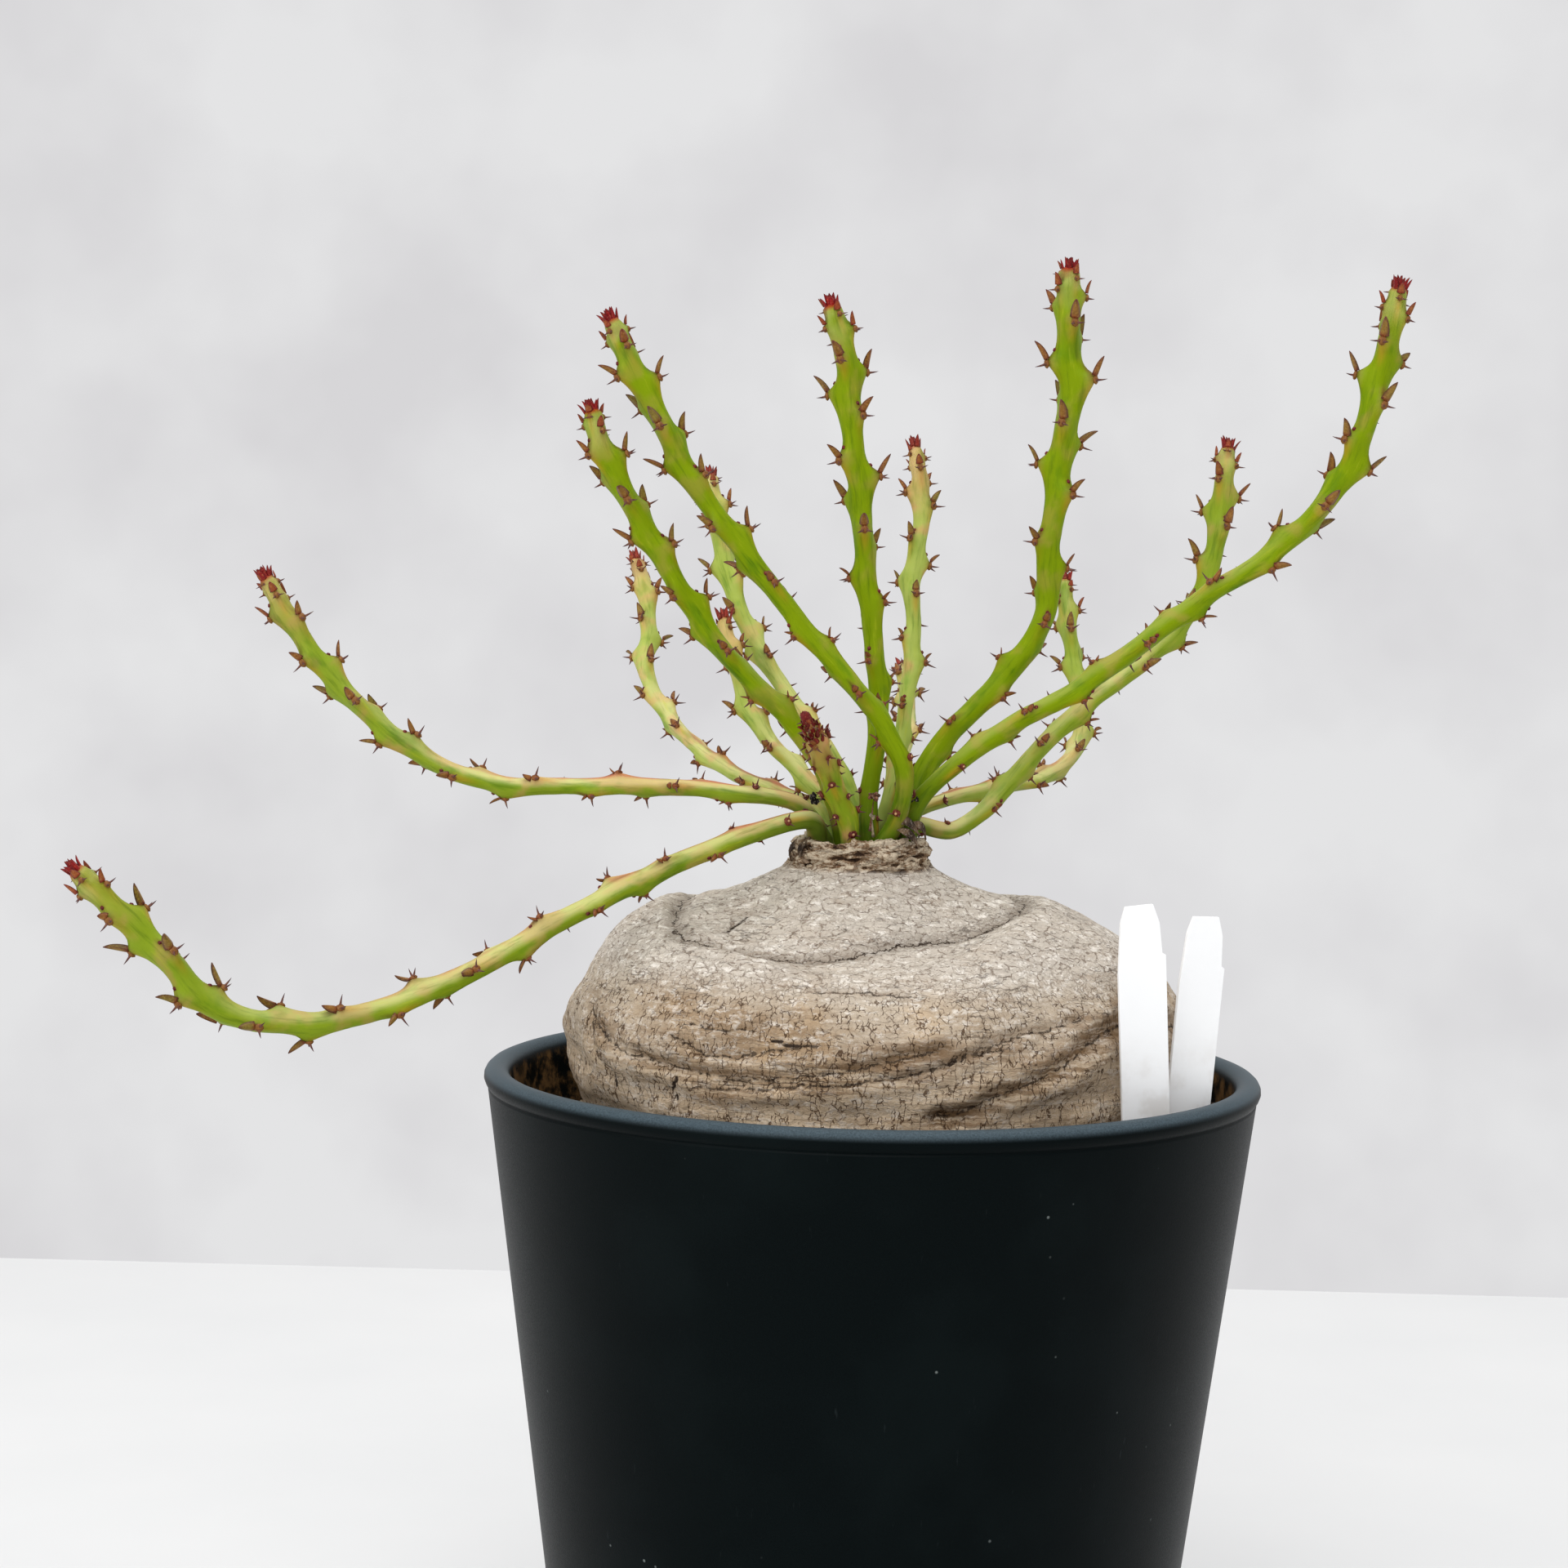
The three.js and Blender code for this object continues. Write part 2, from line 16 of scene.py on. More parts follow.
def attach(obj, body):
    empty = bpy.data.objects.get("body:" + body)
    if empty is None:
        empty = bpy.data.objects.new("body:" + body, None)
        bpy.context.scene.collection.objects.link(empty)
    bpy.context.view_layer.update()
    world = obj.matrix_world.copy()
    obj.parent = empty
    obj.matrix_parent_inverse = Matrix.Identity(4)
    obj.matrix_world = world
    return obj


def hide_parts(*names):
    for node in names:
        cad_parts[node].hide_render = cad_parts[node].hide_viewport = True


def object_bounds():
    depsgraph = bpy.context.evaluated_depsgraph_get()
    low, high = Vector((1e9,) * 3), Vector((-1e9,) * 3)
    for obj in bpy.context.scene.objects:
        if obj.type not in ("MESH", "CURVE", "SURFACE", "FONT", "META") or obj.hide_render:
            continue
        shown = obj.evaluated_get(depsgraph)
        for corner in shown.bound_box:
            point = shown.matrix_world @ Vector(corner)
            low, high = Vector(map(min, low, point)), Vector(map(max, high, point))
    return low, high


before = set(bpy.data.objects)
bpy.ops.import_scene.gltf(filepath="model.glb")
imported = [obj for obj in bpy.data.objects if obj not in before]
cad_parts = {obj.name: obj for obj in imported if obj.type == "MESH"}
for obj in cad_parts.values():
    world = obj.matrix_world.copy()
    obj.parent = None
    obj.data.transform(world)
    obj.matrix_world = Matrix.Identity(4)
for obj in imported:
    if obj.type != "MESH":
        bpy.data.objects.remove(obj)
CAD_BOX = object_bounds()

MM = 0.001
TAU = 2 * math.pi
RIM_Z = 135
random = np.random.default_rng(12)

# Numbers and curves

CURVE_SAMPLES = 24


def ease(low, high, value):
    """0 at low and 1 at high, smooth between them and flat beyond."""
    t = np.clip((value - low) / (high - low), 0, 1)
    return t * t * (3 - 2 * t)


def bell(value, width):
    return np.exp(-((value / width) ** 2))


def unit(vector):
    return vector / np.linalg.norm(vector, axis=-1, keepdims=True)


def circle(count):
    """Evenly spaced angles, once round."""
    return np.arange(count) / count * TAU


def apart(angle, other):
    """How far an angle lies from another one, between minus half a turn and half a turn."""
    return (angle - other + math.pi) % TAU - math.pi


def turned(radius, height, angle, middle=0):
    """Points at those radii, heights and angles about an upright axis, with middle as its x."""
    return np.stack(np.broadcast_arrays(middle + radius * np.cos(angle), radius * np.sin(angle), height), -1)


def columns(profile):
    """The radii and the heights of a profile, each as a column."""
    return np.hsplit(np.array(profile, float), 2)


def oval(centre, first, second, sides):
    """A ring of points about a centre; first and second are its half axes."""
    angle = circle(sides)[:, None]
    return centre + np.cos(angle) * first + np.sin(angle) * second


def curve_through(points, step):
    """Evenly spaced places, about a step apart, on a Catmull-Rom curve, and how far along each one is."""
    p = np.array(points, float)
    p = np.vstack([2 * p[0] - p[1], p, 2 * p[-1] - p[-2]])
    t = np.linspace(0, 1, CURVE_SAMPLES, endpoint=False)[:, None]
    pieces = []
    for a, b, c, d in zip(p, p[1:], p[2:], p[3:]):
        start, end = (c - a) / 2, (d - b) / 2
        between = (2 * t**3 - 3 * t**2 + 1) * b + (3 * t**2 - 2 * t**3) * c
        pieces.append(between + (t**3 - 2 * t**2 + t) * start + (t**3 - t**2) * end)
    dense = np.vstack([*pieces, p[-2:-1]])
    along = np.concatenate([[0], np.cumsum(np.linalg.norm(np.diff(dense, axis=0), axis=1))])
    places = np.linspace(0, along[-1], round(along[-1] / step) + 1)
    return np.column_stack([np.interp(places, along, column) for column in dense.T]), places


def cloud(points, size, octaves=3, seed=0.0):
    """Soft noise of about -1 to 1, with features of that size in millimetres; size may differ by axis."""
    scaled = points / np.array(size) + seed
    values = [noise.fractal(Vector(p), 1.0, 2.0, octaves) for p in scaled.reshape(-1, 3)]
    return np.array(values).reshape(points.shape[:-1])


def shade(red, green, blue):
    """A colour in 0 to 255 as the linear values that shaders and meshes hold."""
    value = np.array([red, green, blue], float) / 255
    return np.where(value <= 0.04045, value / 12.92, ((value + 0.055) / 1.055) ** 2.4)


def tones(**colours):
    return Facts(**{name: shade(*colour) for name, colour in colours.items()})


def mixed(first, second, share):
    share = np.asarray(share, float)[..., None]
    return first * (1 - share) + second * share


# Meshes


def closed_skin(rings):
    """Points and faces of a closed surface over rings of points, with a middle point at each end."""
    count, around = rings.shape[:2]
    points = np.vstack([rings.reshape(-1, 3), rings[0].mean(0), rings[-1].mean(0)])
    j = np.arange(around)
    k = (j + 1) % around
    low = np.arange(count - 1)[:, None] * around
    last = (count - 1) * around
    middle = np.full(around, count * around)
    sides = np.stack([low + j, low + k, low + around + k, low + around + j], -1).reshape(-1, 4)
    start, end = np.stack([middle, k, j], -1), np.stack([middle + 1, last + j, last + k], -1)
    return points, [*sides.tolist(), *start.tolist(), *end.tolist()]


def with_ends(values):
    """A field over rings of points as a flat list that also covers the two middle points."""
    ends = np.stack([values[0, 0], values[-1, 0]])
    return np.concatenate([values.reshape(-1, *values.shape[2:]), ends])


class Heap:
    """Small shapes gathered into one mesh, each with its own tint."""

    def __init__(self):
        self.points, self.faces, self.tints, self.count = [], [], [], 0

    def add(self, rings, tints):
        """A closed shape over rings, with one tint for all of it, for each ring or for each point."""
        rings = np.array(rings)
        points, faces = closed_skin(rings)
        self.points.append(points)
        self.faces += [[corner + self.count for corner in face] for face in faces]
        self.tints.append(with_ends(np.broadcast_to(tints, rings.shape)))
        self.count += len(points)

    def finish(self, name, look, slot, *replaced):
        fields = {"tint": np.vstack(self.tints)}
        make_piece(name, np.vstack(self.points), self.faces, look, replaced, fields)


def make_piece(name, points, faces, look, replaced, fields):
    """A smooth mesh object that rides on the frame; fields are values kept at its points for the shaders."""
    mesh = bpy.data.meshes.new(name)
    mesh.from_pydata((points * MM).tolist(), [], faces)
    for key, values in fields.items():
        if key == "tint":
            layer = mesh.color_attributes.new(key, "FLOAT_COLOR", "POINT")
            layer.data.foreach_set("color", np.column_stack([values, np.ones(len(values))]).ravel())
        elif values.ndim == 2:
            mesh.attributes.new(key, "FLOAT_VECTOR", "POINT").data.foreach_set("vector", values.ravel())
        else:
            mesh.attributes.new(key, "FLOAT", "POINT").data.foreach_set("value", values)
    mesh.shade_smooth()
    mesh.update()
    return place_piece(bpy.data.objects.new(name, mesh), look, replaced)


def closed_piece(name, rings, look, slot, replaced, **fields):
    """A piece over rings of points, with fields given as a value for each of these points."""
    points, faces = closed_skin(rings)
    flat = {key: with_ends(values) for key, values in fields.items()}
    return make_piece(name, points, faces, look, replaced, flat)


def place_piece(piece, look, replaced):
    bpy.context.scene.collection.objects.link(piece)
    piece.data.materials.clear()
    piece.data.materials.append(look)
    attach(piece, "root")
    if replaced:
        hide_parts(*replaced)
    return piece


# Materials


class Nodes:
    """Short names for the nodes of a shader tree, and the colour that they have built up so far."""

    def __init__(self, tree):
        self.tree, self.colour = tree, None

    def plug(self, socket, value):
        if isinstance(value, bpy.types.NodeSocket):
            self.tree.links.new(value, socket)
        elif isinstance(value, np.ndarray):
            socket.default_value = (*value, 1)
        else:
            socket.default_value = value

    def node(self, kind, inputs, output=0, **settings):
        made = self.tree.nodes.new("ShaderNode" + kind)
        for key, value in settings.items():
            setattr(made, key, value)
        for key, value in inputs.items():
            self.plug(made.inputs[key], value)
        return made.outputs[output]

    def field(self, name, output="Fac"):
        return self.node("Attribute", {}, output, attribute_name=name)

    def place(self):
        """The place on the object, in millimetres."""
        return self.stretch(self.node("TexCoord", {}, "Object"), 1 / MM, 1 / MM)

    def stretch(self, vector, across, up):
        return self.node("VectorMath", {0: vector, 1: (across, across, up)}, operation="MULTIPLY")

    def noise(self, vector, scale, detail=3, rough=0.5, seed=0):
        inputs = {"Vector": vector, "Scale": scale, "Detail": detail, "Roughness": rough, "W": seed}
        return self.node("TexNoise", inputs, "Fac", noise_dimensions="4D")

    def bent(self, vector, scale, amount):
        """The vector shifted about by noise, so that a pattern on it isn't straight."""
        shift = self.node("TexNoise", {"Vector": vector, "Scale": scale, "Detail": 2}, "Color")
        centred = self.node("VectorMath", {0: shift, 1: (0.5, 0.5, 0.5)}, operation="SUBTRACT")
        return self.node("VectorMath", {0: centred, 1: (amount,) * 3, 2: vector}, operation="MULTIPLY_ADD")

    def cells(self, feature, vector, scale, low, high):
        """Rises from low to high with the distance to the borders of cells or to their centres."""
        away = self.node("TexVoronoi", {"Vector": vector, "Scale": scale}, "Distance", feature=feature)
        return self.step(away, low, high)

    def step(self, value, low, high, out=(0, 1)):
        """A smooth passage between the two values of out, as the value goes from low to high."""
        inputs = {"Value": value, "From Min": low, "From Max": high, "To Min": out[0], "To Max": out[1]}
        return self.node("MapRange", inputs, interpolation_type="SMOOTHSTEP")

    def sum(self, a, b):
        return self.node("Math", {0: a, 1: b}, operation="ADD")

    def times(self, a, b):
        return self.node("Math", {0: a, 1: b}, operation="MULTIPLY")

    def larger(self, a, b):
        return self.node("Math", {0: a, 1: b}, operation="MAXIMUM")

    def size_of(self, value):
        return self.node("Math", {0: value}, operation="ABSOLUTE")

    def blend(self, share, first, second, kind="MIX"):
        return self.node("Mix", {0: share, 6: first, 7: second}, 2, data_type="RGBA", blend_type=kind)

    def coat(self, share, tone, most=1, kind="MIX"):
        """One more layer over the colour so far, at most so strong."""
        if most != 1:
            share = self.times(share, most)
        self.colour = self.blend(share, self.colour, tone, kind)

    def sink(self, away, tone):
        """Darkens the colour so far by a tone, except where away is 1."""
        self.colour = self.blend(away, self.blend(1.0, self.colour, tone, "MULTIPLY"), self.colour)


class Look(Nodes):
    """A material, with its shader's fixed settings given by their own names."""

    def __init__(self, name, settings):
        self.material = bpy.data.materials.new(name)
        self.material.use_nodes = True
        super().__init__(self.material.node_tree)
        self.set(settings)

    def set(self, settings):
        for key, value in settings.items():
            self.plug(self.tree.nodes["Principled BSDF"].inputs[key], value)

    def finish(self, *bumps, **settings):
        """The material with its colour plugged in, and bumps of a height, a depth and a strength each."""
        self.set({"Base Color": self.colour, **settings})
        normal = None
        for height, depth, strength in bumps:
            inputs = {"Height": height, "Distance": depth * MM, "Strength": strength}
            if normal:
                inputs["Normal"] = normal
            normal = self.node("Bump", inputs, "Normal")
        if normal:
            self.set({"Normal": normal})
        return self.material


POT = tones(
    dark=(0, 3, 4), green=(3, 12, 13), faded=(10, 19, 20), worn=(78, 92, 100), dust=(130, 138, 136),
    lint=(150, 156, 152), rubbed=(80, 90, 92), stain=(116, 88, 54),
)
BARK = tones(
    dark=(162, 138, 110), cork=(195, 179, 158), ochre=(208, 174, 130), grey=(208, 200, 189),
    sand=(230, 207, 176), brown=(144, 115, 85), pale=(222, 211, 196), fleck=(246, 239, 229),
    speck=(124, 102, 80), stain_dark=(86, 62, 38), stain=(152, 122, 88), smudge=(112, 98, 82),
    collar_dark=(60, 41, 27), collar=(142, 114, 86), collar_pale=(208, 192, 168),
    crack=(150, 126, 104), deep_crack=(140, 118, 98), line=(60, 48, 38), white=(255, 255, 255),
)
STEM_COATS = tones(moss=(168, 190, 150), yellow=(182, 186, 44), deep=(176, 214, 160), bloom=(204, 206, 110))
GROWTH_COATS = tones(vein=(160, 130, 110), straw=(190, 160, 96))
FLAKE_COATS = tones(shadow=(118, 96, 76), fibre=(206, 194, 176))
GRIT_PIT = shade(110, 92, 74)
LABEL = tones(white=(253, 254, 254), film=(248, 249, 250), dirt=(176, 160, 138))
LABEL_DIRT_HEIGHTS = (150, 126)
FLOOR = tones(grey=(218, 219, 219), white=(229, 229, 228))
WALL = tones(grey=(215, 214, 216), white=(228, 228, 229))


def pot_look():
    look = Look("pot_plastic", {"Specular IOR Level": 0.05})
    here = look.place()
    grain = look.noise(here, 3.2, rough=0.6)
    broad = look.noise(here, 0.05, seed=2)
    rubs = look.noise(look.stretch(here, 1, 0.12), 0.9, detail=2, rough=0.6, seed=5)
    blotches = look.noise(here, 0.22, detail=6, rough=0.7, seed=8)
    dust = look.times(look.cells("F1", here, 0.16, 0.06, 0.025), look.step(broad, 0.48, 0.62))
    lint = look.cells("F1", look.stretch(look.bent(here, 0.2, 2), 1, 0.28), 0.11, 0.035, 0.012)
    # Painted highlight: a lighter blue-grey band along the crest of the lip
    worn = look.times(look.step(look.field("lip"), 0.3, 1), look.step(grain, 0.3, 0.7, out=(0.5, 0.9)))
    stain = look.times(look.field("inside"), look.step(blotches, 0.42, 0.6))
    look.colour = look.blend(grain, POT.dark, POT.green)
    look.coat(look.step(broad, 0.4, 0.7), POT.faded, most=0.4)
    look.coat(worn, POT.worn)
    look.coat(dust, POT.dust, most=0.6)
    look.coat(lint, POT.lint, most=0.7)
    look.coat(look.step(rubs, 0.7, 0.8), POT.rubbed, most=0.12)
    look.coat(stain, POT.stain, most=0.9)
    rough = look.sum(look.step(grain, 0.3, 0.7, out=(0.36, 0.46)), look.times(stain, 0.4))
    return look.finish((grain, 0.05, 0.5), Roughness=rough)


def bark_cracks(look, here, cone, breaks, large):
    """The fine cracks, then these and the deep ones: 1 away from them and less inside."""
    wavy = look.bent(here, 1.3, 0.8)
    body = look.step(look.field("high"), 0.85, 0.55)
    tall_share = look.times(look.step(breaks, 0.46, 0.58), look.step(body, 0, 1, out=(0.2, 0.7)))
    flat_share = look.times(look.step(breaks, 0.54, 0.44), look.step(cone, 0, 1, out=(0.08, 0.42)))
    deep_share = look.times(look.step(large, 0.5, 0.62, out=(0, 0.6)), look.step(cone, 0.2, 1, out=(1, 0.15)))

    def cracks(share, across, up, scale, low, high):
        lines = look.cells("DISTANCE_TO_EDGE", look.stretch(wavy, across, up), scale, low, high)
        return look.blend(share, BARK.white, lines)

    tall = cracks(tall_share, 1, 0.3, 0.95, 0.01, 0.08)
    flat = cracks(flat_share, 0.34, 1, 0.9, 0.01, 0.08)
    deep = cracks(deep_share, 0.9, 0.4, 0.34, 0.004, 0.03)
    fine = look.blend(1.0, tall, flat, "MULTIPLY")
    return fine, look.blend(1.0, fine, deep, "MULTIPLY")


def bark_look():
    look = Look("tuber_bark", {"Specular IOR Level": 0.2, "Roughness": 0.88})
    here, high = look.place(), look.field("high")
    bent = look.bent(here, 0.5, 1.3)
    cone = look.step(high, 0.6, 0.82)
    patches = look.noise(here, 0.05, detail=6, rough=0.66)
    ochre = look.noise(here, 0.045, detail=4, rough=0.6, seed=2)
    large = look.noise(here, 0.12, rough=0.6, seed=10)
    gaps = look.noise(here, 0.2, rough=0.6, seed=13)
    breaks = look.noise(look.stretch(here, 1, 0.6), 0.75, rough=0.6, seed=9)
    grain = look.noise(look.stretch(bent, 0.1, 1.3), 0.8, detail=6, rough=0.68, seed=3)
    flecks = look.noise(look.stretch(bent, 0.5, 1.1), 0.9, detail=6, rough=0.75, seed=5)
    specks = look.noise(look.stretch(bent, 1.4, 0.8), 1.5, detail=4, rough=0.75, seed=7)
    threads = look.noise(look.stretch(bent, 0.1, 1), 0.45, rough=0.6, seed=15)
    wander = look.step(look.noise(here, 0.5, detail=4, rough=0.7, seed=11), 0.2, 0.8, out=(-0.9, 0.9))
    fine, whole = bark_cracks(look, here, cone, breaks, large)

    # Thin dark lines: the crease, the splits, the wrinkles and fine hair cracks
    off_crease = look.size_of(look.sum(look.field("crease"), wander))
    off_fold = look.size_of(look.sum(look.field("fold"), look.times(wander, 0.35)))
    off_split = look.sum(look.field("split"), look.times(wander, 0.16))
    off_thread = look.size_of(look.sum(threads, -0.5))
    seam = look.times(look.step(off_crease, 0.3, 0.1), look.step(gaps, 0.36, 0.48))
    fold = look.times(look.step(off_fold, 0.3, 0.08), look.step(breaks, 0.4, 0.5, out=(0, 0.8)))
    hair = look.times(look.step(off_thread, 0.012, 0.003), look.step(large, 0.44, 0.54))
    lines = look.larger(look.larger(seam, look.step(off_split, 0.45, 0.15)), fold)

    # The body, from its broad patches to its finest specks
    streaks = look.times(look.step(grain, 0.5, 0.68), look.step(high, 0.7, 0.3, out=(0.3, 0.66)))
    flaky = look.times(look.step(flecks, 0.5, 0.62), look.step(high, 0.5, 0.85, out=(0.5, 0.85)))
    stained = look.times(look.field("stain"), look.step(grain, 0.42, 0.56, out=(0.25, 1)))
    # Painted shade: a faint dark band along the crease
    smudge = look.times(look.step(off_crease, 3.2, 0.2), look.step(specks, 0.3, 0.6, out=(0.2, 0.6)))
    look.colour = look.blend(look.step(patches, 0.38, 0.62), BARK.dark, BARK.cork)
    look.coat(look.step(ochre, 0.48, 0.66), BARK.ochre, most=0.5)
    look.coat(cone, BARK.grey, most=0.8)
    # Paler lower band: partly the bark's own lower tone, partly painted light against the pot's shadow
    look.coat(look.step(high, 0.44, 0.2), BARK.sand, most=0.7)
    look.coat(streaks, BARK.brown)
    look.coat(look.step(grain, 0.46, 0.34), BARK.pale, most=0.4)
    look.coat(flaky, BARK.fleck)
    look.coat(look.step(specks, 0.44, 0.34), BARK.speck, most=0.5)
    look.coat(stained, look.blend(specks, BARK.stain_dark, BARK.stain))
    # Painted shade along the crease
    look.coat(smudge, BARK.smudge)

    # The collar, coloured by its layers: painted shade in the gaps between them and a painted highlight on
    # their ridges
    layer = look.sum(look.field("layer"), look.step(flecks, 0.35, 0.65, out=(-0.5, 0.5)))
    collar = look.blend(look.step(layer, 0.1, 0.5), BARK.collar_dark, BARK.collar)
    look.coat(look.field("crown"), look.blend(look.step(layer, 0.5, 0.9), collar, BARK.collar_pale))
    look.sink(fine, BARK.crack)
    look.coat(look.sum(lines, look.times(hair, 0.5)), BARK.line)
    look.sink(whole, BARK.deep_crack)
    pores = look.noise(here, 3, rough=0.6)
    return look.finish((whole, 0.35, 0.9), (flecks, 1.1, 0.7), (grain, 0.8, 0.6), (pores, 0.12, 0.5))


def stem_look():
    skin = {"Specular IOR Level": 0.07, "Subsurface Weight": 0.1, "Subsurface Scale": 1.6 * MM}
    look = Look("stem_skin", {**skin, "Subsurface Radius": (0.7, 1, 0.1)})
    lay = look.field("lay", "Vector")
    streaks = look.noise(look.stretch(lay, 1, 0.14), 0.9, detail=4, rough=0.6)
    fine = look.noise(look.stretch(lay, 1, 0.5), 4.5, rough=0.6, seed=3)
    broad = look.noise(look.stretch(lay, 1, 0.5), 0.3, seed=6)
    look.colour = look.field("tint", "Color")
    look.coat(look.step(streaks, 0.5, 0.7), STEM_COATS.moss, most=0.6, kind="MULTIPLY")
    look.coat(look.step(streaks, 0.42, 0.28), STEM_COATS.yellow, most=0.3)
    look.coat(look.step(broad, 0.54, 0.7), STEM_COATS.deep, most=0.55, kind="MULTIPLY")
    look.coat(look.step(fine, 0.6, 0.8), STEM_COATS.bloom, most=0.06)
    rough = look.step(fine, 0.3, 0.7, out=(0.4, 0.55))
    return look.finish((streaks, 0.16, 0.4), (fine, 0.05, 0.5), Roughness=rough)


def growth_look():
    look = Look("leaf_and_spine", {"Roughness": 0.5, "Specular IOR Level": 0.25})
    vein = look.noise(look.place(), 2.4, rough=0.6)
    look.colour = look.field("tint", "Color")
    look.coat(look.step(vein, 0.4, 0.7), GROWTH_COATS.vein, most=0.5, kind="MULTIPLY")
    look.coat(look.step(vein, 0.45, 0.3), GROWTH_COATS.straw, most=0.25)
    return look.finish((vein, 0.08, 0.5))


def flake_look():
    look = Look("dry_bark", {"Roughness": 0.9, "Specular IOR Level": 0.2})
    here = look.place()
    coarse = look.noise(here, 1.1, detail=5, rough=0.7)
    fibre = look.noise(look.stretch(here, 1, 0.35), 2.6, rough=0.7)
    look.colour = look.field("tint", "Color")
    look.coat(look.step(coarse, 0.35, 0.68), FLAKE_COATS.shadow, most=0.8, kind="MULTIPLY")
    look.coat(look.step(fibre, 0.5, 0.72), FLAKE_COATS.fibre, most=0.4)
    return look.finish((coarse, 0.4, 0.8))


def grit_look():
    look = Look("potting_grit", {"Roughness": 0.95, "Specular IOR Level": 0.2})
    pits = look.noise(look.place(), 1.6, detail=4, rough=0.65)
    look.colour = look.field("tint", "Color")
    look.coat(look.step(pits, 0.35, 0.65), GRIT_PIT, most=0.7, kind="MULTIPLY")
    return look.finish((pits, 0.4, 0.8))


def label_look():
    look = Look("label_plastic", {"Specular IOR Level": 0.4})
    here = look.place()
    height = look.node("SeparateXYZ", {"Vector": here}, "Z")
    film = look.noise(here, 0.12, detail=4, rough=0.6)
    dirt = look.times(look.step(height, *LABEL_DIRT_HEIGHTS), look.step(film, 0.42, 0.62))
    look.colour = look.blend(film, LABEL.white, LABEL.film)
    look.coat(dirt, LABEL.dirt, most=0.35)
    rough = look.step(film, 0.3, 0.7, out=(0.3, 0.42))
    return look.finish((look.noise(here, 4, detail=2), 0.02, 0.4), Roughness=rough)


def floor_look():
    look = Look("pale_floor", {"Roughness": 0.6, "Specular IOR Level": 0.2})
    look.colour = look.blend(look.noise(look.place(), 0.012, detail=4), FLOOR.grey, FLOOR.white)
    return look.finish()


# Pot: its profile as radius and height, from the foot round the lip and down to the inner floor

POT_AROUND = 192
POT_FLOOR = 3
POT_FOOT_PROFILE = [(20, 0), (40, 0), (52, 0), (55.2, 0.1), (56.3, 0.7), (56.9, 2)]
POT_WALL_FOOT = (56.9, 2)
POT_WALL_TOP = (73.7, 129.9)
POT_WALL_RINGS = 24
POT_PARTING = [(73.72, 130.2), (73.55, 130.35), (73.6, 130.6), (73.85, 130.75)]
POT_LIP = [
    (74.2, 131.3), (74.5, 132.1), (74.45, 132.9), (74.1, 133.6), (73.5, 134.15), (72.8, 134.42),
    (72.1, 134.5), (71.3, 134.38), (70.6, 134.05), (70, 133.5), (69.6, 132.7), (69.4, 131.5), (69.33, 129.5),
]
# The crest of the lip where its painted highlight lies, and how wide it spreads
POT_LIP_HIGHLIGHT = Facts(height=134.2, width=1.6)
POT_INNER = Facts(radius=69.3, top=127, low=6, slope=0.127, rings=20)
DRAIN = Facts(holes=4, radius=4, circle=34, sides=24)


def pot_inner(z):
    """The inner wall's radius at a height."""
    return POT_INNER.radius - (POT_INNER.top - z) * POT_INNER.slope


def make_pot(look):
    wall = np.linspace(POT_WALL_FOOT, POT_WALL_TOP, POT_WALL_RINGS)[1:]
    inner = [(pot_inner(z), z) for z in np.linspace(POT_INNER.top, POT_INNER.low, POT_INNER.rings)]
    corner = pot_inner(POT_INNER.low)
    floor = [(corner - 0.6, 4.2), (corner - 1.8, POT_FLOOR), (40, POT_FLOOR), (20, POT_FLOOR)]
    outer = [*POT_FOOT_PROFILE, *wall, *POT_PARTING, *POT_LIP]
    rings = turned(*columns([*outer, *inner, *floor]), circle(POT_AROUND))
    inside = np.zeros(rings.shape[:2])
    inside[len(outer) - 2 :] = 1
    lip = bell(rings[..., 2] - POT_LIP_HIGHLIGHT.height, POT_LIP_HIGHLIGHT.width)
    pot = closed_piece("pot_body", rings, look, "pot", ("pot",), inside=inside, lip=lip)
    holes = bmesh.new()
    for turn in circle(DRAIN.holes) + math.pi / DRAIN.holes:
        at = Vector((DRAIN.circle * math.cos(turn), DRAIN.circle * math.sin(turn), POT_FLOOR / 2)) * MM
        bmesh.ops.create_cone(
            holes, cap_ends=True, segments=DRAIN.sides, radius1=DRAIN.radius * MM, radius2=DRAIN.radius * MM,
            depth=(POT_FLOOR + 2) * MM, matrix=Matrix.Translation(at),
        )
    cutter_mesh = bpy.data.meshes.new("drain_cutter")
    holes.to_mesh(cutter_mesh)
    holes.free()
    cutter = bpy.data.objects.new("drain_cutter", cutter_mesh)
    bpy.context.scene.collection.objects.link(cutter)
    cut = pot.modifiers.new("drain", "BOOLEAN")
    cut.operation, cut.object, cut.solver = "DIFFERENCE", cutter, "EXACT"
    bpy.context.view_layer.update()
    cut_mesh = bpy.data.meshes.new_from_object(pot.evaluated_get(bpy.context.evaluated_depsgraph_get()))
    pot.modifiers.clear()
    pot.data = cut_mesh
    bpy.data.objects.remove(cutter)


# Tuber: its profile as radius and height above the rim, from the buried root up to the crown

ROOT = [(7, -77), (16, -64), (28, -49), (40, -34), (49.4, -18.5)]
SHOULDER = [
    (54.6, -9), (57.6, -2.5), (59.1, 4), (58.8, 9), (56.4, 15), (52.4, 21), (48.4, 25), (44.2, 28),
    (39.8, 30.2), (35.4, 31.4), (31, 32.2), (25, 33.4), (18.2, 35.8), (14.6, 37.6),
]
COLLAR = [(13.2, 38.6), (13, 39.8), (13.2, 41.2), (12.9, 42.8), (12.3, 43.7), (11.9, 43), (11.8, 41.6)]
CROWN_X = -3.2
CROWN_FLOOR = 41.3
CROWN_FLOOR_RADII = (11, 8, 4)
TUBER_AROUND = 440
TUBER_STEP = 0.6
COLLAR_STEP = 0.3
COLLAR_JOIN = 8
FAR = 9.0

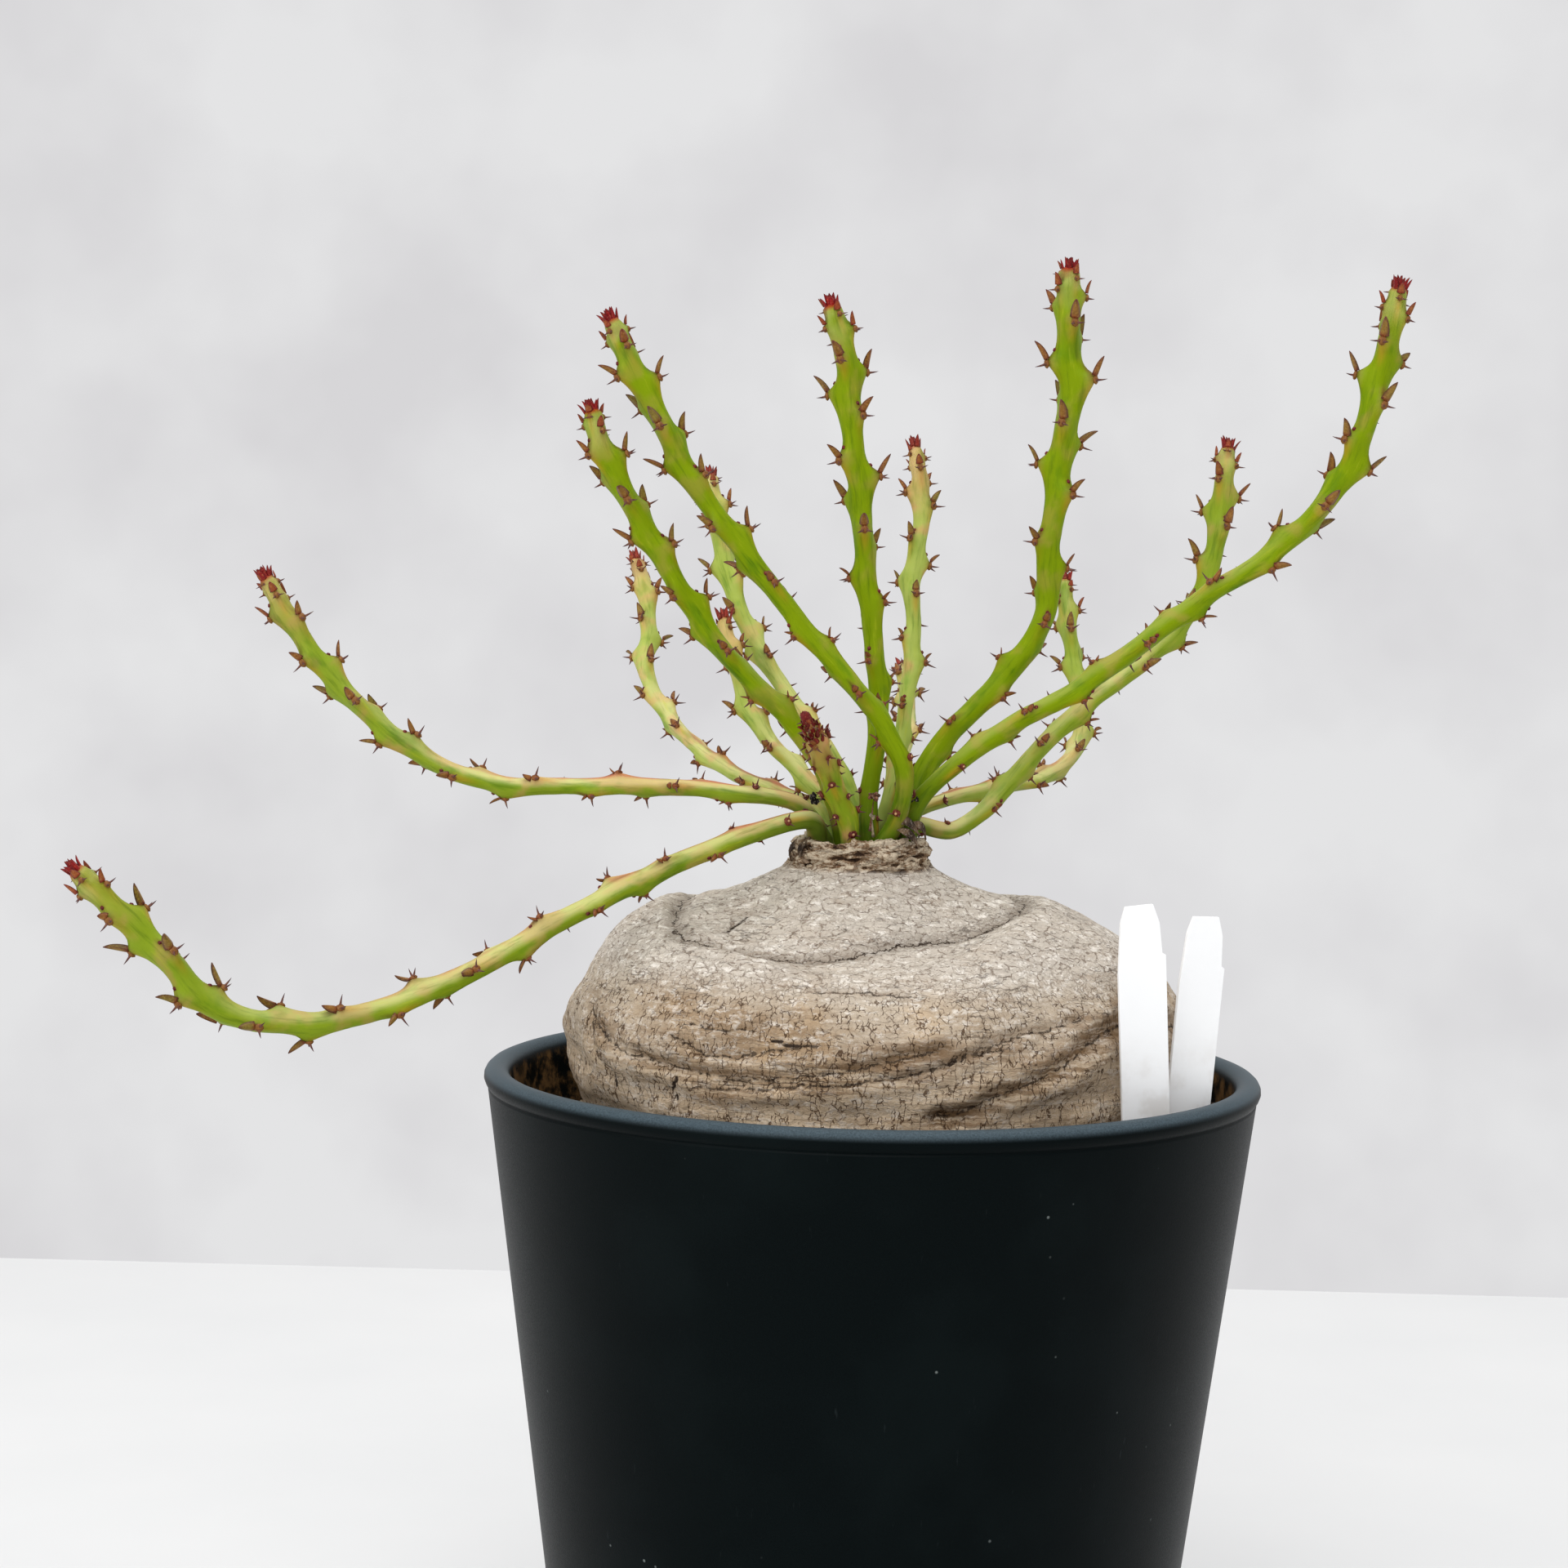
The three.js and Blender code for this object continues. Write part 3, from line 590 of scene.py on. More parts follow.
# Heights over which something sets in
ABOVE_SOIL = (-13, 1)
RELIEF_FROM = (-20, -10)
UPPER_PART = (5, 23)
TOWARDS_CROWN = (17, 38)
TOP_FROM = 12

SAG = Facts(front=6.6, back=3.5, reach=12)
CREASE = Facts(
    radius=34, front=7, back=3, right=-4, waver=1.5, depth=1.2, width=2.2, lip=0.9, lip_out=5, lip_width=3.5,
)
FOLDS = Facts(height=4, sag=5.5, depth=0.9, width=2.2, second=8, second_depth=0.6)
LABEL_SIDE = math.radians(-40)
LABEL_FLAT = 0.8
COLLAR_LOW = Facts(left=0.9, right=2, right_side=math.radians(17))

# Where the crease's sharp line leaves its fold: how far inward, round which degree, and how wide
GROOVE_SHIFTS = [(9, -78, 34), (-6.5, -142, 18)]

# Waves round the tuber: height, count, start, and how they drift with the height
LUMPS = [(0.7, 2, 0.8, 0), (0.5, 5, 0, 0.12), (0.35, 9, 0, -0.3)]
RAGGED = [(0.5, 5, 1, 0), (0.35, 11, 0, 0), (0.25, 17, 2, 0)]

# Noise over the tuber: the features' size by axis, octaves and seed
SWELLS = ((16, 16, 9), 3)
KNOBS = ((3.2, 3.2, 2.2), 4, 7.3)
LAYERS = ((6.5, 6.5, 1.4), 4, 3.1)

# Wrinkles: places as degrees round from +X and millimetres above the rim, then depth, width and how brown
WRINKLES = [
    ([(-134, 7.2), (-126, 5.6), (-118, 4.8), (-112, 4.6), (-103, 5.8), (-96, 6.8), (-86, 9.2), (-78, 11)],
     0.9, 1.1, 1),
    ([(-122, 2.4), (-115, 2.6), (-103, 4), (-96, 4.4), (-91, 5.4), (-83, 6.6), (-74, 9.4)], 0.6, 0.9, 0.9),
    ([(-152, 12), (-147, 10), (-141, 7.8), (-132, 6)], 0.5, 0.9, 0.5),
    ([(-127, 10.9), (-123, 9.8), (-119, 8.4), (-115, 8.6), (-108, 10), (-100, 11.4)], 0.4, 0.5, 0.35),
    ([(-124, 13.4), (-118, 13), (-112, 13.3)], 0.3, 0.5, 0.4),
    ([(-78, -0.8), (-73, -0.4), (-67, 2.5), (-62, 4.2), (-57, 6.3), (-53, 7.5), (-47, 10.4), (-40, 12.3),
      (-30, 14)], 1.2, 1.5, 1),
    ([(-71, 10.9), (-63, 13.1), (-56, 13.7), (-46, 15)], 0.5, 0.8, 0.5),
    ([(-85, 6.1), (-78, 8), (-74, 9.9), (-66, 11)], 0.4, 0.7, 0.6),
    ([(-101, 20), (-92, 20.2), (-82, 19.7)], 0.25, 0.5, 0.15),
    ([(-154, 14), (-151, 9.5), (-148, 5.4), (-143, 3)], 0.5, 1.4, 0.3),
    ([(-20, 12), (0, 8), (24, 6), (50, 8), (80, 5), (110, 7), (140, 9), (165, 12)], 0.9, 1.4, 0.8),
    ([(30, 1), (60, 2), (95, -1), (130, 2), (160, 4)], 0.8, 1.2, 0.8),
    ([(90, 16), (115, 15), (150, 18)], 0.5, 1, 0.5),
]
SPLITS = [
    [(-126, 3.8), (-126.6, 2.6), (-127.4, 1.4), (-127, -0.4)],
    [(-142, 2.2), (-142.4, 0.4)],
    [(-108, 11.9), (-105, 11.3), (-103.4, 11.4)],
    [(-135, 27.8), (-136.5, 28.4), (-139, 30)],
]
SPLIT_CUT = 0.5


def frontness(a):
    return np.maximum(0, -np.sin(a)) ** 1.6


def backness(a):
    return np.maximum(0, np.sin(a)) ** 2


def waves(a, table, z=0):
    return sum(height * np.sin(count * a + start + drift * z) for height, count, start, drift in table)


def off_crease(a, r):
    """How far outside the crease round the top a place lies."""
    radius = CREASE.radius + CREASE.front * frontness(a) + CREASE.back * backness(a)
    return r - radius - CREASE.right * np.maximum(0, np.cos(a)) ** 2 - CREASE.waver * np.sin(3 * a + 0.6)


def off_groove(a, r):
    """How far outside the crease's sharp line a place lies."""
    degrees = np.degrees(apart(a, 0))
    return off_crease(a, r) + sum(inward * bell(degrees - at, width) for inward, at, width in GROOVE_SHIFTS)


def tuber_points(a, r, z):
    """The tuber's skin for angles a and places on its profile, before its fine relief."""
    crease = off_crease(a, r)
    rise = CREASE.lip * bell(crease - CREASE.lip_out, CREASE.lip_width)
    rise = rise - CREASE.depth * bell(off_groove(a, r), CREASE.width)
    rise = rise - (SAG.front * frontness(a) + SAG.back * backness(a)) * bell(crease + 3, SAG.reach)
    fold = z - FOLDS.height + FOLDS.sag * frontness(a)
    folds = FOLDS.depth * bell(fold, FOLDS.width)
    folds = folds + FOLDS.second_depth * bell(fold + FOLDS.second, FOLDS.width)
    flat = LABEL_FLAT * np.maximum(0, np.cos(a - LABEL_SIDE)) ** 24
    radius = r + ease(*ABOVE_SOIL, z) * (waves(a, LUMPS, z) - folds - flat)
    return turned(radius, RIM_Z + (z + ease(*UPPER_PART, z) * rise), a, CROWN_X * ease(*TOWARDS_CROWN, z))


def crown_points(a, r, z):
    """The ragged collar and the crown's floor, for angles a and places on their profile."""
    ragged = waves(a, RAGGED)
    low = COLLAR_LOW.left * np.maximum(0, -np.cos(a))
    low = low + COLLAR_LOW.right * np.maximum(0, np.cos(a - COLLAR_LOW.right_side)) ** 10
    height = z + ease(CROWN_FLOOR, CROWN_FLOOR + 1.2, z) * (0.6 * ragged - low)
    return turned(r + 0.3 * ragged * ease(38.5, 41, z), RIM_Z + height, a, CROWN_X)


def normals_of(grid):
    """Outward directions of a grid of points whose rows close round the tuber."""
    round_way = np.roll(grid, -1, 1) - np.roll(grid, 1, 1)
    return unit(np.cross(round_way, np.gradient(grid, axis=0)) + 1e-12)


def surface_line(grid, line):
    """Places on the tuber for a line given as degrees and heights above the rim."""
    places = []
    for degrees, height in curve_through(line, 0.8)[0]:
        around = grid.shape[1]
        outer = grid[:, round((math.radians(degrees) % TAU) / TAU * around) % around]
        places.append(outer[np.argmin(np.abs(outer[:, 2] - RIM_Z - height))])
    places = np.array(places)
    keep = np.concatenate([[True], np.linalg.norm(np.diff(places, axis=0), axis=1) > 0.2])
    return places[keep]


def near_line(grid, line):
    """How far each point of a grid lies from a line of places on it."""
    best = np.full(grid.shape[:2], np.inf)
    for a, b in zip(line, line[1:]):
        share = np.clip(((grid - a) @ (b - a)) / ((b - a) @ (b - a)), 0, 1)
        best = np.minimum(best, np.linalg.norm(grid - (a + share[..., None] * (b - a)), axis=-1))
    return best


def make_tuber(look):
    turn = circle(TUBER_AROUND)
    profile = np.array([*ROOT[:-2], *curve_through([*ROOT[-2:], *SHOULDER], TUBER_STEP)[0]])
    collar = columns(curve_through([SHOULDER[-1], *COLLAR], COLLAR_STEP)[0][1:])
    join = ease(0, COLLAR_JOIN, np.arange(len(collar[0])))[:, None]
    grid = np.concatenate([
        tuber_points(turn, *columns(profile)),
        mixed(tuber_points(turn, *collar), crown_points(turn, *collar), join),
        crown_points(turn, *columns([(radius, CROWN_FLOOR) for radius in CROWN_FLOOR_RADII])),
    ])
    below_collar = grid[: len(profile)]
    height = grid[..., 2] - RIM_Z
    crease, crown = np.full(height.shape, FAR), np.zeros(height.shape)
    on_top = profile[:, 1] > TOP_FROM
    crease[: len(profile)][on_top] = off_groove(turn, profile[on_top, :1])
    crown[len(profile) :] = ease(0, 5, np.arange(len(grid) - len(profile)))[:, None]

    swells, knobs = cloud(grid, *SWELLS), cloud(grid, *KNOBS)
    layers = 1 - 2.4 * np.abs(cloud(grid, *LAYERS))
    stain = ease(0.1, 0.75, 1 - np.abs(height + 3 + 4 * swells) / 14) * ease(-0.3, 0.5, swells) * 0.6
    relief = 0.5 * swells + 0.16 * knobs * (1 - crown) + crown * (0.7 * layers + 0.4 * knobs)
    fold, split = np.full(height.shape, FAR), np.full(height.shape, FAR)
    for line, depth, width, browning in WRINKLES:
        away = near_line(grid, surface_line(below_collar, line))
        uneven = np.abs(away + 0.4 * knobs)
        relief = relief - depth * (1 + 0.3 * layers) * bell(uneven, width)
        relief = relief + 0.35 * depth * bell(uneven - 2.2 * width, width)
        stain = np.maximum(stain, browning * (0.9 + 0.35 * swells) * bell(away, 1.9 * width + 0.8))
        signed = away * np.sign(height - np.interp(np.degrees(apart(turn, 0)), *np.array(line).T))
        fold = np.where(np.abs(signed) < np.abs(fold), signed, fold)
    for line in SPLITS:
        away = near_line(grid, surface_line(below_collar, line))
        relief = relief - SPLIT_CUT * bell(away, SPLIT_CUT)
        split = np.minimum(split, away)
    grid = grid + normals_of(grid) * (relief * ease(*RELIEF_FROM, height))[..., None]
    closed_piece(
        "tuber_body", grid, look, "bark", ("tuber",), crease=np.clip(crease, -FAR, FAR), split=split,
        fold=np.clip(fold, -FAR, FAR), layer=0.5 + 0.5 * layers + 0.2 * knobs, crown=crown,
        high=ease(-12, 38, height), stain=np.clip(stain, 0, 1),
    )


# Soil: loose grit over a closed bed

SOIL = Facts(
    depth=12.2, slope=0.045, foot=2.9, bevel=2.1, gap=0.3, edge=68, middle=50, around=96, bed_below=1.2,
)
SOIL_TONE = shade(58, 42, 30)
GRIT = Facts(count=2100, sizes=(0.9, 2.1), from_radius=52, sides=7, rows=4)
GRIT_TINTS = [
    shade(*tint)
    for tint in [(112, 84, 58), (142, 112, 80), (92, 74, 58), (168, 148, 120), (70, 52, 40), (124, 110, 96)]
]


def soil_top(x):
    return RIM_Z - SOIL.depth + SOIL.slope * x


def wall_at(turn):
    """The pot's inner radius at the soil's top, in that direction."""
    return pot_inner(soil_top(SOIL.edge * np.cos(turn)))


def lump(at, size, seed):
    """Rings of a small rounded, uneven pebble."""
    up = np.linspace(-0.86, 0.86, GRIT.rows)[:, None]
    shape = turned(np.sqrt(1 - up**2), up, circle(GRIT.sides) + seed)
    uneven = 1 + 0.22 * np.sin(3 * shape[..., :1] + seed) + 0.2 * np.sin(4 * shape[..., 1:2] + 2 * seed)
    return np.array(at) + shape * uneven * size


def make_soil(look):
    turn = circle(SOIL.around)
    low, corner = POT_FLOOR + SOIL.gap, pot_inner(POT_FLOOR + SOIL.foot) - SOIL.gap
    rings = [turned(corner - SOIL.bevel, low, turn), turned(corner, low + SOIL.foot, turn)]
    for share in (1, 0.75, 0.5, 0.25, 0):
        radius = share * (wall_at(turn) - SOIL.gap) + (1 - share) * SOIL.middle
        rings.append(turned(radius, soil_top(radius * np.cos(turn)) - SOIL.bed_below, turn))
    rings = np.array(rings)
    closed_piece("soil_bed", rings, look, "soil", ("soil",), tint=np.broadcast_to(SOIL_TONE, rings.shape))
    grit = Heap()
    angles = random.uniform(0, TAU, GRIT.count)
    shares = np.sqrt(random.uniform(0, 1, GRIT.count))
    for angle, share in zip(angles, shares):
        size = random.uniform(*GRIT.sizes) * (0.75 if random.random() < 0.5 else 1)
        radius = GRIT.from_radius + share * (wall_at(angle) - 0.5 - size - GRIT.from_radius)
        x, y = radius * math.cos(angle), radius * math.sin(angle)
        z = soil_top(x) - 0.6 + random.uniform(-0.5, 1.1)
        tint = GRIT_TINTS[random.integers(len(GRIT_TINTS))] * random.uniform(0.7, 1.15)
        squash = np.array([1, random.uniform(0.7, 1), random.uniform(0.65, 0.95)]) * size
        grit.add(lump((x, y, z), squash, random.uniform(0, 6)), tint)
    grit.finish("soil_grit", look, "soil")


# Labels: the frame's own strips with their edges rounded

LABEL_EDGE = 0.14


def make_labels(look):
    for name in ("label_short", "label_leaning"):
        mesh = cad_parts[name].data.copy()
        shape = bmesh.new()
        shape.from_mesh(mesh)
        bmesh.ops.remove_doubles(shape, verts=shape.verts, dist=0.01 * MM)
        bmesh.ops.dissolve_limit(shape, angle_limit=math.radians(1), verts=shape.verts, edges=shape.edges)
        edges = list(shape.edges)
        bmesh.ops.bevel(shape, geom=edges, offset=LABEL_EDGE * MM, segments=3, profile=0.5, affect="EDGES")
        shape.to_mesh(mesh)
        shape.free()
        mesh.name = name + "_strip"
        mesh.shade_smooth()
        strip = place_piece(bpy.data.objects.new(name + "_strip", mesh), look, (name,))
        strip.modifiers.new("flat_faces", "WEIGHTED_NORMAL").keep_sharp = True


# Stems: girth, paleness, blush, the foot on the crown, and the points passed through up to the tip

STEMS = {
    "stem_low_left": (1.02, 0.1, 0.25, (-11.2, -4), [
        (-13.5, -8, 182.5), (-26.5, -16, 179), (-41, -24, 173), (-57, -33, 165), (-72, -42, 156.5),
        (-87, -51, 150.5), (-100, -58, 148.5), (-113.5, -64, 151.5), (-123.5, -69, 162.5), (-137, -73, 176.5),
    ]),
    "stem_left": (0.86, 0.15, 0.35, (-10.2, 1.4), [
        (-15.5, -1, 185), (-27, -4, 187), (-39.5, -6, 188), (-55, -8, 188), (-70.5, -10, 188),
        (-82.5, -12, 191.5), (-93, -14, 198.5), (-102.5, -15, 207.5), (-110, -16, 217.5), (-115.5, -17, 227),
    ]),
    "stem_left_rising": (0.95, 0.0, 0.1, (-6.4, -3.2), [
        (-8, -5, 185.5), (-11.5, -9, 194), (-18.5, -13, 203.5), (-28, -17, 213), (-35.5, -20, 223),
        (-42, -24, 234), (-47.5, -27, 243.5), (-51.5, -29, 251.5), (-53.5, -30, 258.5),
    ]),
    "stem_front_rising": (0.96, 0.0, 0.1, (1.4, -8.2), [
        (4, -9, 183.5), (5, -11, 191.5), (1.5, -13, 200), (-5, -15, 208.5), (-13.5, -17, 218),
        (-22, -20, 228.5), (-29.5, -22, 238), (-36, -24, 247), (-41, -26, 256.5), (-47, -27, 267.5),
        (-50.5, -28, 275),
    ]),
    "stem_back_left_tall": (0.85, 0.6, 0.3, (-4.8, 6.4), [
        (-4.5, 8, 184.5), (-9, 13, 193.5), (-16.5, 21, 203), (-24, 29, 213), (-29, 36, 222.5),
        (-32.5, 42, 232.5), (-34.5, 46, 242), (-36, 49, 249.5),
    ]),
    "stem_back_left_hook": (0.8, 0.8, 0.4, (-9.2, 6.4), [
        (-11.5, 9, 183.5), (-19, 14, 186), (-28.5, 24, 189), (-37.5, 36, 194), (-44.5, 47, 200.5),
        (-49, 56, 208.5), (-49, 63, 217), (-50.5, 69, 225.5), (-53, 73, 232),
    ]),
    "stem_back_left_low": (0.76, 0.7, 0.6, (-5, 1.6), [
        (-8.5, 4, 184.5), (-14.5, 7, 190), (-21, 12, 196), (-26, 17, 203), (-28.5, 21, 210.5),
        (-30.5, 25, 216), (-31.5, 27, 220.5),
    ]),
    "stem_front_short": (0.86, 0.1, 0.6, (-5, -8.6), [
        (-5.5, -10, 182.5), (-7.5, -13, 187.5), (-10, -18, 194), (-11.5, -23, 198.5), (-13.5, -28, 203),
    ]),
    "stem_centre": (1.0, 0.0, 0.1, (-1.4, -3.2), [
        (-1.5, -2, 187.5), (0, -2, 201), (-1, -4, 214), (-3, -7, 229.5), (-4.5, -10, 245), (-6.5, -12, 258.5),
        (-7.5, -13, 269), (-10.5, -15, 279.5),
    ]),
    "stem_back_centre": (0.78, 0.7, 0.6, (-0.4, 3.2), [
        (2, 4, 185), (4, 7, 195), (5.5, 12, 206), (6.5, 17, 217), (6, 22, 228.5), (7.5, 26, 238),
        (7.5, 29, 246.5), (6, 32, 255.5),
    ]),
    "stem_right_tall": (1.1, 0.0, 0.1, (2.8, -0.8), [
        (6, 0, 185), (11, 2, 195.5), (18.5, 2, 204), (26, 1, 212.5), (31.5, 0, 222.5), (31.5, -2, 232),
        (32.5, -4, 242.5), (33.5, -6, 253.5), (35, -7, 264), (34, -8, 274.5), (34, -9, 287.5),
    ]),
    "stem_right_long": (0.96, 0.0, 0.15, (4.9, -4.8), [
        (8.5, -6, 187), (16, -8, 194.5), (25.5, -9, 201.5), (36, -10, 207.5), (47.5, -12, 216),
        (59.5, -14, 225.5), (70.5, -16, 233), (79.5, -18, 241.5), (86, -20, 251.5), (89, -22, 262.5),
        (91.5, -23, 273.5), (93, -24, 283.5),
    ]),
    "stem_right_low": (0.93, 0.15, 0.2, (5.9, 2.4), [
        (8, 3, 181), (14.5, 5, 180), (21.5, 8, 184.5), (29.5, 12, 193.5), (39, 16, 203), (50.5, 20, 212),
        (59, 24, 220), (64.5, 28, 228.5), (67, 31, 239), (68, 33, 247.5), (69, 35, 256.5),
    ]),
    "stem_back_right_hook": (0.8, 0.4, 0.15, (3.6, 6.4), [
        (6, 9, 182.5), (14.5, 16, 185.5), (24.5, 25, 187.5), (34, 36, 189), (41, 47, 194.5), (42, 56, 203.5),
        (40.5, 63, 213.5), (39.5, 68, 222), (39, 71, 229.5),
    ]),
    "stem_back_short": (0.76, 0.7, 0.3, (-0.6, 9), [
        (2.5, 13, 184), (4.5, 24, 191.5), (6, 38, 198.5), (5.5, 52, 205), (5, 66, 210),
    ]),
}
SCARRED_STEM = "stem_front_short"

STEM = Facts(
    foot_z=RIM_Z + CROWN_FLOOR + 0.3, foot_rise=1.8, step=0.7, around=32, core=1.72, texture_radius=2.3,
    dome=1.6, dome_share=0.93, taper=0.1, scarred_taper=0.4, taper_length=10, wide_foot=0.08,
    wide_foot_length=12,
)
HUMP = Facts(height=2.7, turn=0.56, below=3.1, above=1.5, point=1.25, lower=0.4, lower_over=(20, 75))
PITCH = Facts(tip=0.8, upper=3.8, upper_from=13, lower=5.3, lower_over=(15, 60), scarred=1.5)
GROWN_OVER = (-0.8, 11)
GOLDEN = math.radians(137.5)
BARE_SHARE = 0.24
LEAF = Facts(length=3.75, width=2.1, thick=1.0, lean=0.62, curl=(0.1, 0.5))
LEAF_CUTS = np.linspace(0, 0.97, 9)
LEAF_SECTION = np.array(
    [(-1, 0.5), (-0.5, 0.1), (0, -0.1), (0.5, 0.1), (1, 0.5), (0.6, -0.25), (0, -0.6), (-0.6, -0.25)]
)
SPINE = Facts(length=1.95, radius=0.25, cuts=(0, 0.15, 0.45, 0.75, 0.97), sides=6, foot=1.35)
BRUSH = {False: Facts(leaves=13, spread=1.0, dark=0), True: Facts(leaves=40, spread=7.5, dark=0.55)}

GREEN = tones(skin=(121, 144, 1), foot=(78, 100, 12), pale=(190, 200, 112), cream=(212, 206, 140))
RED = tones(
    pink=(208, 132, 104), rose=(158, 64, 50), rust=(128, 62, 30), line=(98, 44, 30), crimson=(150, 12, 16),
    dark=(84, 18, 18),
)
BROWN = tones(
    amber=(190, 138, 40), leaf=(148, 98, 38), olive=(134, 118, 44), leaf_edge=(92, 46, 40),
    scar=(186, 146, 104), spine=(122, 76, 58), spine_tip=(82, 50, 54),
)


class Stem:
    """The centreline of one stem with a direction frame at each place, and where its tubercles sit."""

    def __init__(self, name, girth, pale, blush, foot, path):
        self.name, self.girth, self.pale, self.blush = name, girth, pale, blush
        self.scarred = name == SCARRED_STEM
        base = [(*foot, STEM.foot_z), (*foot, STEM.foot_z + STEM.foot_rise)]
        self.places, self.along = curve_through([*base, *path], STEM.step)
        self.length = self.along[-1]
        self.tangents = unit(np.gradient(self.places, axis=0))
        side, normals = np.array([1.0, 0.0, 0.0]), []
        for tangent in self.tangents:
            side = unit(side - tangent * (side @ tangent))
            normals.append(side)
        self.normals = np.array(normals)
        self.binormals = np.cross(self.tangents, self.normals)
        self.tubercles = self.place_tubercles()

    def place_tubercles(self):
        """A spiral of tubercles from the tip down; the lower they are, the flatter and the wider apart."""
        below, turn, found = 1.0, random.uniform(0, TAU), []
        upper = PITCH.scarred if self.scarred else PITCH.upper
        while below < self.length - 3:
            along, grown = self.length - below, float(ease(*GROWN_OVER, below))
            bare = float(ease(BARE_SHARE + 0.03, 0.08, along / self.length))
            height = HUMP.height * (0.2 + 0.8 * grown) * (1 - 0.85 * bare) * random.uniform(0.85, 1.12)
            height *= (1 - HUMP.lower * float(ease(*HUMP.lower_over, below))) * (0.5 if self.scarred else 1)
            found.append(Facts(
                along=along, below=below, turn=turn % TAU, grown=grown, bare=bare, height=height,
            ))
            gap = PITCH.tip + (upper - PITCH.tip) * ease(0, PITCH.upper_from, below)
            below += float(gap + (PITCH.lower - PITCH.upper) * ease(*PITCH.lower_over, below))
            turn += GOLDEN + random.normal(0, 0.06)
        return found

    def at(self, along):
        """Place, tangent, normal and binormal at a distance along the stem."""
        rows = (self.places, self.tangents, self.normals, self.binormals)
        return [np.array([np.interp(along, self.along, column) for column in row.T]) for row in rows]

    def outward(self, along, turn):
        _, _, normal, binormal = self.at(along)
        return unit(normal * math.cos(turn) + binormal * math.sin(turn))

    def core(self, along):
        """The radius without tubercles, for a girth of 1."""
        dome = np.clip((along - (self.length - STEM.dome)) / STEM.dome, 0, 1)
        taper = STEM.scarred_taper if self.scarred else STEM.taper
        tapered = 1 - taper * ease(self.length - STEM.taper_length, self.length, along)
        domed = np.sqrt(np.clip(1 - STEM.dome_share * dome**2, 0, 1))
        return STEM.core * tapered * domed * (1 + STEM.wide_foot * ease(STEM.wide_foot_length, 0, along))

    def swelling(self, along, turn):
        """The tubercles' own rise, at every place along by every angle round."""
        total = np.zeros((len(along), len(turn)))
        for t in self.tubercles:
            offset = along - t.along
            reach = np.where(offset < 0, HUMP.below, HUMP.above) * (0.3 + 0.7 * t.grown)
            far = np.hypot((offset / reach)[:, None], apart(turn, t.turn)[None] / HUMP.turn)
            total += t.height * np.exp(-(far**HUMP.point))
        return total

    def radius(self, along, turn):
        end = ease(self.length + 0.2, self.length - 1.8, along)[:, None]
        return self.girth * (self.core(along)[:, None] + self.swelling(along, turn) * end)

    def surface(self, along, turn, lift=0.0):
        """A place on the skin, or above it by lift."""
        radius = float(self.radius(np.array([along]), np.array([turn]))[0, 0])
        return self.at(along)[0] + self.outward(along, turn) * (radius + lift)


def leaf_marks(stem, turn):
    """Marks on the skin: a dark line above each leaf and a ring at its foot, and an amber streak below it."""
    dark = np.zeros((len(stem.along), len(turn)))
    amber = np.zeros_like(dark)
    for t in stem.tubercles:
        offset, away = stem.along - t.along, apart(turn, t.turn)
        above = ease(-0.4, 0.4, offset) * ease(3.4 * (0.4 + 0.6 * t.grown), 1.0, offset)
        below = ease(0.2, -0.6, offset) * ease(-6.5, -1.5, offset)
        line = (1 - t.bare) * (0.3 + 0.6 * math.sin(7 * t.along) ** 2)
        streak = 0.3 + 0.7 * math.sin(5 * t.along) ** 2
        dark = np.maximum(dark, line * np.outer(above, bell(away, 0.22)))
        dark = np.maximum(dark, 0.75 * np.outer(bell(offset, 0.7), bell(away, 0.28)))
        amber = np.maximum(amber, streak * np.outer(below, bell(away, 0.3)))
    return dark, amber


